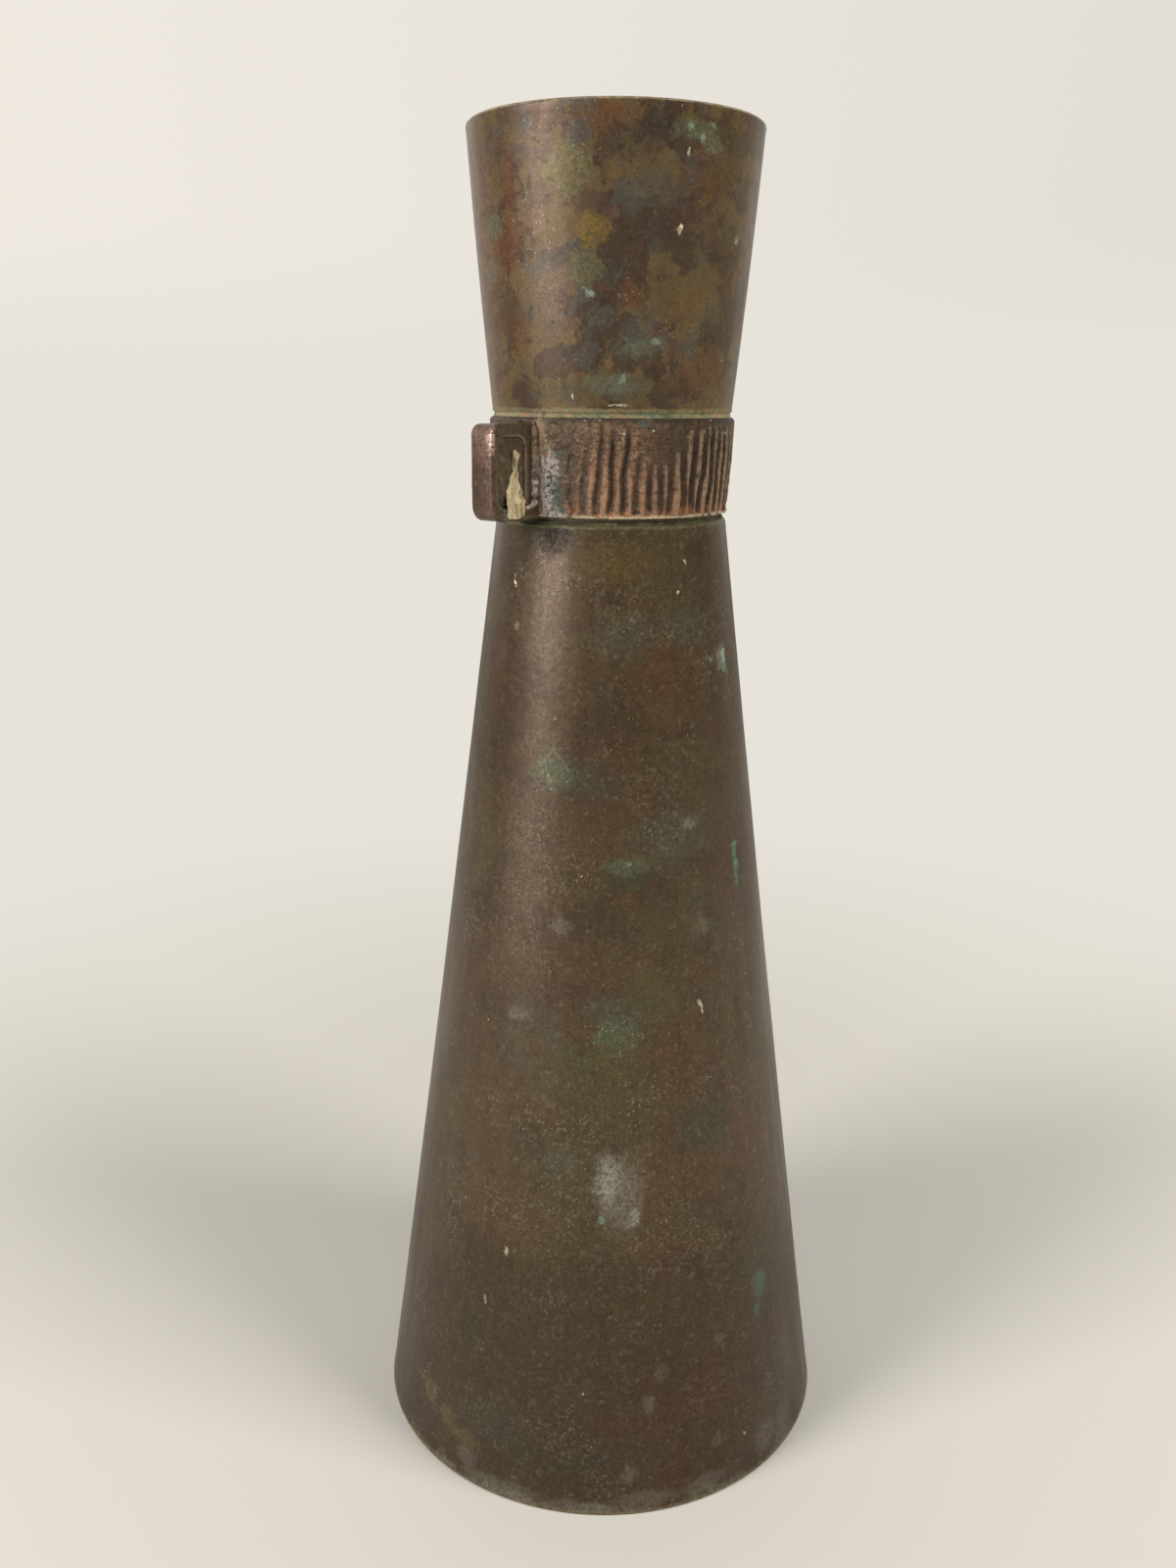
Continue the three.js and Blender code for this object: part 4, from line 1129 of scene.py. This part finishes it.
bm = bmesh.new()
block = rounded_box(*block_sides, EAR_LOW_CORNER_ROUND, EAR_CORNER_ROUND, EAR_ROOT_ROUND)
outer_edges = loop(bm, block, -ear_half)
pocket_edges = loop(bm, rounded_box(*pocket_sides, *[POCKET_ROUND] * 3), -ear_half)
bmesh.ops.bridge_loops(bm, edges=outer_edges + pocket_edges)
pocket_floor = pulled(bm, pocket_edges, (0, POCKET_DEPTH, 0))
bmesh.ops.contextual_create(bm, geom=pocket_floor)
pulled(bm, outer_edges, (0, ear_half, 0))
bmesh.ops.mirror(bm, geom=bm.verts[:] + bm.edges[:] + bm.faces[:], axis="Y", merge_dist=0.01 * mm)
bmesh.ops.remove_doubles(bm, verts=bm.verts, dist=0.01 * mm)
bmesh.ops.recalc_face_normals(bm, faces=bm.faces)

# %% [markdown]
# Rounding and casting the ear
# A casting has no sharp edge. The block's edges and the pocket's are rounded by different amounts, and
# their distance from the block's sides tells them apart. A voxel remesh then gives an even skin of small
# faces, which a little noise turns into a casting, and the end that hands have worn is pillowed.

# %% Rounded ear edges
for offset, of_pocket in ((EAR_EDGE_ROUND, False), (POCKET_EDGE_ROUND, True)):
    rim = []
    for edge in bm.edges:
        corner = edge.verts[0].co
        inward = min(-corner.x - ear_root, ear_end + corner.x, corner.z - ear_low.z, ear_high.z - corner.z)
        by_pocket = inward > 1 * mm
        on_face = min(abs(vert.co.y) for vert in edge.verts) > ear_half - 0.1 * mm
        if on_face and by_pocket == of_pocket and edge.calc_face_angle(0) > math.radians(60):
            rim.append(edge)
    bmesh.ops.bevel(bm, geom=rim, offset=offset, affect="EDGES", segments=4, profile=0.5, clamp_overlap=True)
    print(len(rim), "ear edges rounded")

# %% Ear casting
VOXEL = 0.22 * mm

blank_mesh = bpy.data.meshes.new("ear_blank")
bm.to_mesh(blank_mesh)
bm.free()
blank = bpy.data.objects.new("ear_blank", blank_mesh)
bpy.context.scene.collection.objects.link(blank)
remesh = blank.modifiers.new("remesh", "REMESH")
remesh.mode = "VOXEL"
remesh.voxel_size = VOXEL
bm = bmesh.new()
bm.from_mesh(blank.evaluated_get(bpy.context.evaluated_depsgraph_get()).to_mesh())
bpy.data.objects.remove(blank)
for _ in range(2):
    bmesh.ops.smooth_vert(bm, verts=bm.verts, factor=0.5, use_axis_x=True, use_axis_y=True, use_axis_z=True)
for vert in bm.verts:
    spot = vert.co.copy()
    end_face = max(0.0, 1 - (ear_end + spot.x) / (1.5 * mm))
    crown = (1 - (abs(spot.y) / ear_half) ** 2) * (1 - ((spot.z - ear_middle) / (10 * mm)) ** 2)
    cast = 0.07 * mm * ripple(spot, 3.5 * mm, 11) + 0.035 * mm * ripple(spot, 1.1 * mm, 12)
    vert.co += vert.normal * cast
    vert.co.x -= end_face * (0.3 * mm * crown - 0.25 * mm)
print("ear of", len(bm.verts), "points")

# %% [markdown]
# The ear's finish
# Fingers have kept the ear's end smooth and reddish. Light is painted on its upper part, with a painted glint
# high on it, and the cheeks are olive brown. A thin line of scale marks the lip of the pocket. The mesh keeps
# how near each point is to that lip.

# %% Ear finish
LIP_LINE = 0.15 * mm  # how far outside the pocket's edge the line of scale lies
LIP_LINE_WIDTH = 0.24 * mm


def off_outline(distance, level, inner, outer, low, high, rounding):
    """How far points lie from a rounded rectangle's edge: negative inside it, positive outside."""
    beyond = np.abs(distance - (inner + outer) / 2) - (outer - inner) / 2 + rounding
    above = np.abs(level - (low + high) / 2) - (high - low) / 2 + rounding
    outside = np.hypot(np.maximum(beyond, 0), np.maximum(above, 0))
    return outside + np.minimum(np.maximum(beyond, above), 0) - rounding


lip_kept = bm.verts.layers.float.new("pocket_lip")
points = np.array([v.co for v in bm.verts])
off_pocket = off_outline(-points[:, 0], points[:, 2], *pocket_sides, POCKET_ROUND)
on_cheek = eased(np.abs(points[:, 1]), ear_half - 0.7 * mm, ear_half - 0.3 * mm)
pocket_lip = np.exp(-(((off_pocket - LIP_LINE) / LIP_LINE_WIDTH) ** 2)) * on_cheek
for vert, near in zip(bm.verts, pocket_lip):
    vert[lip_kept] = near

ear_cast, tree, spot = new_material("sand_cast_copper_ear")
grain = add(tree, "ShaderNodeTexNoise", {"Vector": spot, **GRAIN}).outputs["Fac"]
crosswise = add(tree, "ShaderNodeMapping", {"Vector": spot, "Scale": (1, 1, 3)}).outputs[0]
soft_edge = ragged(tree, spot, 2, 2)
cheek_clouds = [("#4d4131", 0.8, 5, 71, 0.42, 0.60, 5, 0.65), ("#5c4a35", 0.6, 2.4, 73, 0.52, 0.60, 4, 0.65)]
colour = clouded(tree, spot, "#5c4e3c", cheek_clouds)
end_zone = between(tree, spot, 0, -(ear_end - 1.4 * mm), -(ear_end - 0.5 * mm))
reddish = clouded(tree, spot, "#5d4236", [("#4c3a2e", 0.8, 4, 72, 0.42, 0.58, 5, 0.65)])
colour = over(tree, colour, reddish, 1.0, end_zone)
# Light is painted on the upper part of the ear's end.
painted_light_above = between(tree, spot, 2, ear_low.z + 9 * mm, ear_high.z - 2 * mm)
colour = over(tree, colour, "#8a6c5e", 0.5, end_zone, painted_light_above)
dirt = [(DARK_BROWN, 0.6, 0.9, 74, 0.48, 0.62, 4, 0.65), (PALE_GREEN, 0.35, 2.2, 75, 0.58, 0.68)]
colour = clouded(tree, spot, colour, dirt)

lip = add(tree, "ShaderNodeAttribute", attribute_name="pocket_lip").outputs["Fac"]
lip_cut = patches(tree, spot, 2.5, 76, 0.32, 0.52, 4, 0.65)
scale = add(tree, "ShaderNodeMath", {0: lip, 1: lip_cut}, operation="MULTIPLY").outputs[0]
towards_band = between(tree, spot, 0, -(ear_end - 4 * mm), -(ear_root + 3 * mm))
line_colour = over(tree, "#6a6e50", "#7e6c58", 1.0, towards_band)
colour = over(tree, colour, line_colour, 0.65, scale)

corner_rust = marks(tree, soft_edge, grain, [(-170.0, 227.0, 1.2, 3.6)], 0.5, out=ear_root + 1.5 * mm)
colour = over(tree, colour, "#6d4a3a", 0.5, corner_rust)
# A painted glint high on the ear's end, near the near cheek.
painted_glint = marks(tree, spot, grain, [(-174.9, 238.4, 1.6, 2.8)], 0.6, out=ear_end)
colour = over(tree, colour, "#c8ad9d", 0.9, painted_glint, end_zone, patches(tree, crosswise, 1.2, 77, 0.40, 0.52))
colour = over(tree, colour, "#3c2f24", 0.5, marks(tree, soft_edge, grain, [(-171.0, 223.6, 3.4, 1.0)], 0.5))
surfaced(tree, colour, (0.45, 0.1, scale), (0.36, 0.7, scale), cast_bumps(tree, spot, 0.35))
placed(bm, "pocketed_ear", [ear_cast], "ear", sharp=180)

# %% [markdown]
# Braze
# Two crusty beads of braze stand in the corners between the ear's cheeks and the band, and thin runs of it
# close the seams over and under the band. It has gone matt and powdery: cream and tan scale, with green
# where damp sat. The two beads, the upper seam and the lower one differ in colour, so one function makes
# all three finishes from tables of clouds.

# %% Braze finish
def old_braze(name, base, tints):
    """Old powdery braze. The tints are clouds, some of which lie only below a level."""
    material, tree, spot = new_material(name)
    colour = base
    for top, tint, amount, *cloud in tints:
        masks = [patches(tree, spot, *cloud)]
        if top:
            masks.append(between(tree, spot, 2, top, top - 3 * mm))
        colour = over(tree, colour, tint, amount, *masks)
    surfaced(tree, colour, 0.12, 0.7, cast_bumps(tree, spot, 0.9))
    return material


# Level below which it lies, or None, then tint, amount, patch size, seed, low and high cut
bead_tints = [
    (None, "#8c6a52", 0.8, 2.4, 81, 0.46, 0.58),
    (235 * mm, "#a39b91", 0.85, 2.0, 82, 0.40, 0.52),
    (227 * mm, "#b5a78e", 0.80, 1.6, 89, 0.44, 0.56),
    (None, "#41372b", 0.80, 0.9, 83, 0.48, 0.60),
    (None, "#56776a", 0.6, 1.6, 84, 0.58, 0.66),
]
seam_tints = [
    (None, "#6c7556", 0.85, 9.0, 85, 0.45, 0.58),
    (None, "#a07c5a", 0.7, 5.0, 86, 0.52, 0.62),
    (None, "#4f4a36", 0.6, 1.4, 87, 0.52, 0.64),
    (None, "#4f7a64", 0.7, 3.0, 88, 0.60, 0.68),
]
under_tints = [(None, "#4d5239", 0.7, 6.0, 85.5, 0.45, 0.58), (None, "#7a6f56", 0.5, 1.6, 86.5, 0.54, 0.64)]
bead_braze = old_braze("weathered_braze_bead", "#6f5f4b", bead_tints)
seam_braze = old_braze("weathered_braze_seam", "#8d8064", seam_tints)
under_braze = old_braze("weathered_braze_under_band", "#3a3226", under_tints)
print("three braze finishes")

# %% [markdown]
# The beads beside the ear
# Each bead starts as a small circle that is extruded along its path in short steps. Every ring gets a size
# of its own and its points are pushed about by noise, as a bead fed by hand is never even. A curve with a
# round bevel is quicker to draw, but it would be as smooth as a pipe.

# %% Braze beads beside the ear
BEAD_RADIUS = 0.85 * mm
BEAD_TURN = 4.6 * mm  # above the ear's lower edge, where the bead turns from the corner out along the cheek
BEAD_TAIL = 11  # steps in the part along the cheek


def bead(path, thickness, seed, sides=14):
    """A lumpy closed bead along a list of points. Thickness is its usual radius."""
    bm = bmesh.new()
    start = bmesh.ops.create_circle(bm, cap_ends=False, segments=sides, radius=1.0)["verts"]
    ring = list({edge for vert in start for edge in vert.link_edges})
    bmesh.ops.contextual_create(bm, geom=ring)
    rows = [start]
    for _ in path[1:]:
        ring = pulled(bm, ring, (0, 0, 0))
        rows.append(list({vert for edge in ring for vert in edge.verts}))
    bmesh.ops.contextual_create(bm, geom=ring)
    for number, (row, centre) in enumerate(zip(rows, path)):
        ahead = path[min(number + 1, len(path) - 1)] - path[max(number - 1, 0)]
        turn = ahead.to_track_quat("Z", "X").to_matrix()
        share = number / (len(path) - 1)
        blunt = math.sqrt(max(0.05, 1 - (2 * share - 1) ** 8))
        size = thickness * blunt * (1 + 0.5 * ripple(centre, 1.8 * mm, seed))
        for vert in row:
            vert.co = centre + turn @ (vert.co * size)
    bm.normal_update()
    bmesh.ops.recalc_face_normals(bm, faces=bm.faces)
    for vert in bm.verts:
        spot = vert.co.copy()
        lumps = 0.32 * mm * ripple(spot, 1.1 * mm, seed + 1) + 0.10 * mm * ripple(spot, 0.5 * mm, seed + 2)
        vert.co += vert.normal * lumps
    return bm


def ear_bead(side):
    """The path of the bead on one cheek: down the corner, then out along the cheek's lower edge."""
    corner = ear_root + 0.25 * mm
    off_cheek = side * (ear_half + 0.2 * mm)
    upright = reversed(levels(ear_low.z + BEAD_TURN, band_top - 0.9 * mm, 0.3 * mm))
    path = [Vector((-corner, off_cheek, z)) for z in upright]
    for step in range(1, BEAD_TAIL + 1):
        share = step / BEAD_TAIL
        outward = corner + 2.6 * mm * share**1.5
        level = ear_low.z + BEAD_TURN - 2.2 * mm * share**0.6
        path.append(Vector((-outward, side * (ear_half + (0.2 - 0.3 * share) * mm), level)))
    return path


beads = (("ear_bead_front", "ear_braze_front", -1, 13), ("ear_bead_back", "ear_braze_back", 1, 17))
for name, node, side, seed in beads:
    placed(bead(ear_bead(side), BEAD_RADIUS, seed), name, [bead_braze], node, sharp=180)

# %% [markdown]
# The seams
# Both are turned like the other round pieces and then made lumpy. The upper one fills the step between the
# band's top and the neck, and the lower one is a thin round run in the groove under the band.

# %% Seams over and under the band
seam_low, seam_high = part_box("neck_braze")
seam_outline = [
    (socket_radius, seam_low.z),
    (seam_high.x, seam_low.z),
    (seam_high.x + 0.05 * mm, seam_low.z + 0.35 * mm),
    (seam_high.x - 0.08 * mm, seam_high.z - 0.3 * mm),
    (seam_high.x - 0.02 * mm, seam_high.z),
    (socket_radius, seam_high.z),
]
bm = spun(seam_outline, 480)
for vert in bm.verts:
    spot = vert.co.copy()
    if spot.xy.length > socket_radius + 0.5 * mm:
        lumps = 0.12 * mm * ripple(spot, 2.0 * mm, 21) + 0.05 * mm * ripple(spot, 0.7 * mm, 22)
        vert.co.xy *= 1 + lumps / spot.xy.length
placed(bm, "neck_seam", [seam_braze], "neck_braze", sharp=60)

RUN_RADIUS = 0.3 * mm
under_low, under_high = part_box("waist_braze")
run_outline = arc(under_high.x - 0.2 * mm, under_low.z + 0.2 * mm, RUN_RADIUS, 0, 315, 7)
bm = spun(run_outline, 240)
for vert in bm.verts:
    spot = vert.co.copy()
    lumps = 0.35 * ripple(spot, 1.8 * mm, 23) + 0.2 * ripple(spot, 0.7 * mm, 24)
    vert.co += vert.normal * RUN_RADIUS * lumps
placed(bm, "waist_seam", [under_braze], "waist_braze", sharp=180)

# %% [markdown]
# The floor plate
# Seen only from below: a disc of sheet copper pushed up into the foot and held by a grey run of soft
# solder. The disc is turned with a few rings of points, so that it can be dished a little. A flat circle
# would be simpler, but no old sheet is quite flat. Rolled sheet also shows fine straight lines.

# %% Floor plate
PLATE_ROUND = 0.3 * mm
plate_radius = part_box("base_plate")[1].x
rings = (0.2, 0.4, 0.6, 0.8)  # shares of the radius
plate_outline = [
    (0, plate_bottom),
    *[(plate_radius * share, plate_bottom) for share in rings],
    *arc(plate_radius - PLATE_ROUND, plate_bottom + PLATE_ROUND, PLATE_ROUND, -90, 0, 3),
    (plate_radius, plate_top),
    *[(plate_radius * share, plate_top) for share in reversed(rings)],
    (0, plate_top),
]
bm = spun(plate_outline, 144)
for vert in bm.verts:
    if vert.co.xy.length < plate_radius - 1 * mm:
        vert.co.z += 0.08 * mm * ripple(vert.co, 16 * mm, 25)

plate_copper, tree, spot = new_material("rolled_copper_sheet")
plate_clouds = [
    ("#4c3c2c", 0.8, 20, 91, 0.4, 0.62),
    ("#5d7a66", 0.5, 7, 92, 0.6, 0.7),
    (DARK_BROWN, 0.4, 1.2, 93, 0.45, 0.7),
]
colour = clouded(tree, spot, "#6a5038", plate_clouds)
rolled = add(tree, "ShaderNodeMapping", {"Vector": spot, "Scale": (0.05, 1, 1)}).outputs[0]
surfaced(tree, colour, 0.6, 0.55, [(patches(tree, rolled, 0.8, 94, 0.3, 0.7), 0.03, 0.6)])
placed(bm, "floor_disc", [plate_copper], "base_plate")

# %% [markdown]
# The solder
# Solder that has wetted both sides pulls itself into a hollow corner, so the outline is a quarter circle
# drawn the other way round. It is smooth and dull grey, with hardly any bumps.

# %% Solder
solder_low, solder_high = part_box("base_solder")
leg = solder_high.z - solder_low.z
hollow = [math.radians(x) for x in (18, 36, 54, 72)]
solder_outline = [
    (solder_high.x, solder_low.z),
    (solder_high.x, solder_high.z),
    (solder_high.x - leg, solder_high.z),
    *[(solder_high.x - leg * (1 - math.sin(a)), solder_low.z + leg * math.cos(a)) for a in hollow],
]
bm = spun(solder_outline, 240)
for vert in bm.verts:
    off_plate = min(vert.co.z - solder_low.z, solder_high.z - vert.co.z, solder_high.x - vert.co.xy.length)
    if off_plate > 0.05 * mm:
        vert.co += vert.normal * 0.1 * mm * ripple(vert.co, 2.5 * mm, 27)

solder_grey, tree, spot = new_material("flowed_soft_solder")
solder_clouds = [("#56544e", 0.8, 4, 95, 0.42, 0.62), ("#6f7d6a", 0.5, 2, 96, 0.58, 0.7)]
colour = clouded(tree, spot, "#777670", solder_clouds)
surfaced(tree, colour, 0.7, 0.5, [(patches(tree, spot, 1.5, 97, 0.3, 0.7), 0.08, 0.6)])
placed(bm, "solder_run", [solder_grey], "base_solder", sharp=60)

# %% [markdown]
# A scrap of dried glue
# An old scrap of glue and paper clings to the near cheek. It is twisted thin near its top and spreads out
# below, where it lies over the pocket's lower edge. A grid is drawn in to the scrap's outline, laid on the
# cheek, crumpled and given a thickness. A cloth simulation could crumple it, but noise is quick and gives
# the same folds each time. Paper dried in glue is matt and fibrous, so its patches are drawn out along the
# scrap.

# %% Glue scrap
# Distance below the top, left edge and right edge, all in millimetres; the edges are distances from the axis
scrap_stations = [
    (0.0, 31.7, 30.8),
    (0.8, 31.9, 30.0),
    (1.6, 32.1, 30.3),
    (2.8, 31.6, 30.7),
    (3.7, 31.8, 30.6),
    (5.9, 32.7, 30.3),
    (7.5, 33.3, 29.8),
    (8.3, 33.6, 28.9),
    (9.3, 33.8, 28.6),
    (10.9, 34.1, 29.2),
    (12.1, 34.3, 29.4),
    (13.1, 34.1, 29.6),
    (13.7, 33.2, 31.1),
]
SCRAP_TOP = 235.7 * mm
SCRAP_THICKNESS = 0.16 * mm
POCKET_SIDE = ear_half - POCKET_DEPTH + 0.25 * mm  # where the scrap lies on the pocket's floor
CHEEK_SIDE = ear_half + 0.22 * mm  # and where it lies on the cheek
drop, left_edge, right_edge = zip(*scrap_stations)
bm = bmesh.new()
bmesh.ops.create_grid(bm, x_segments=26, y_segments=70, size=0.5)
for vert in bm.verts:
    across = vert.co.x + 0.5
    down = (0.5 - vert.co.y) * drop[-1]
    left = np.interp(down, drop, left_edge)
    right = np.interp(down, drop, right_edge)
    lifted = float(eased(np.float64(down), 9.0, 11.2))
    side = -POCKET_SIDE * (1 - lifted) - CHEEK_SIDE * lifted
    vert.co = Vector((-(left + (right - left) * across) * mm, side, SCRAP_TOP - down * mm))
    crumple = 0.30 * mm * ripple(vert.co, 1.5 * mm, 31) + 0.16 * mm * ripple(vert.co, 0.6 * mm, 32)
    fold = 0.35 * mm * math.exp(-(((down - 2.6) / 1.6) ** 2)) * math.sin(6 * across)
    vert.co.y += crumple + fold
    vert.co.x += 0.22 * mm * ripple(vert.co, 0.9 * mm, 33)
bmesh.ops.recalc_face_normals(bm, faces=bm.faces)
bmesh.ops.solidify(bm, geom=bm.faces[:], thickness=SCRAP_THICKNESS)
bmesh.ops.recalc_face_normals(bm, faces=bm.faces)

glue, tree, spot = new_material("dried_glue_and_paper")
fibres = add(tree, "ShaderNodeMapping", {"Vector": spot, "Scale": (1, 1, 0.25)}).outputs[0]
streaks = [("#6a5c40", 0.85, 0.7, 101, 0.46, 0.6), ("#c6ba9a", 0.6, 1.1, 102, 0.52, 0.64)]
colour = clouded(tree, fibres, "#9f8f6f", streaks)
surfaced(tree, colour, 0.0, 0.8, [(patches(tree, fibres, 0.4, 103, 0.3, 0.7), 0.08, 0.8)])
placed(bm, "glue_scrap", [glue])
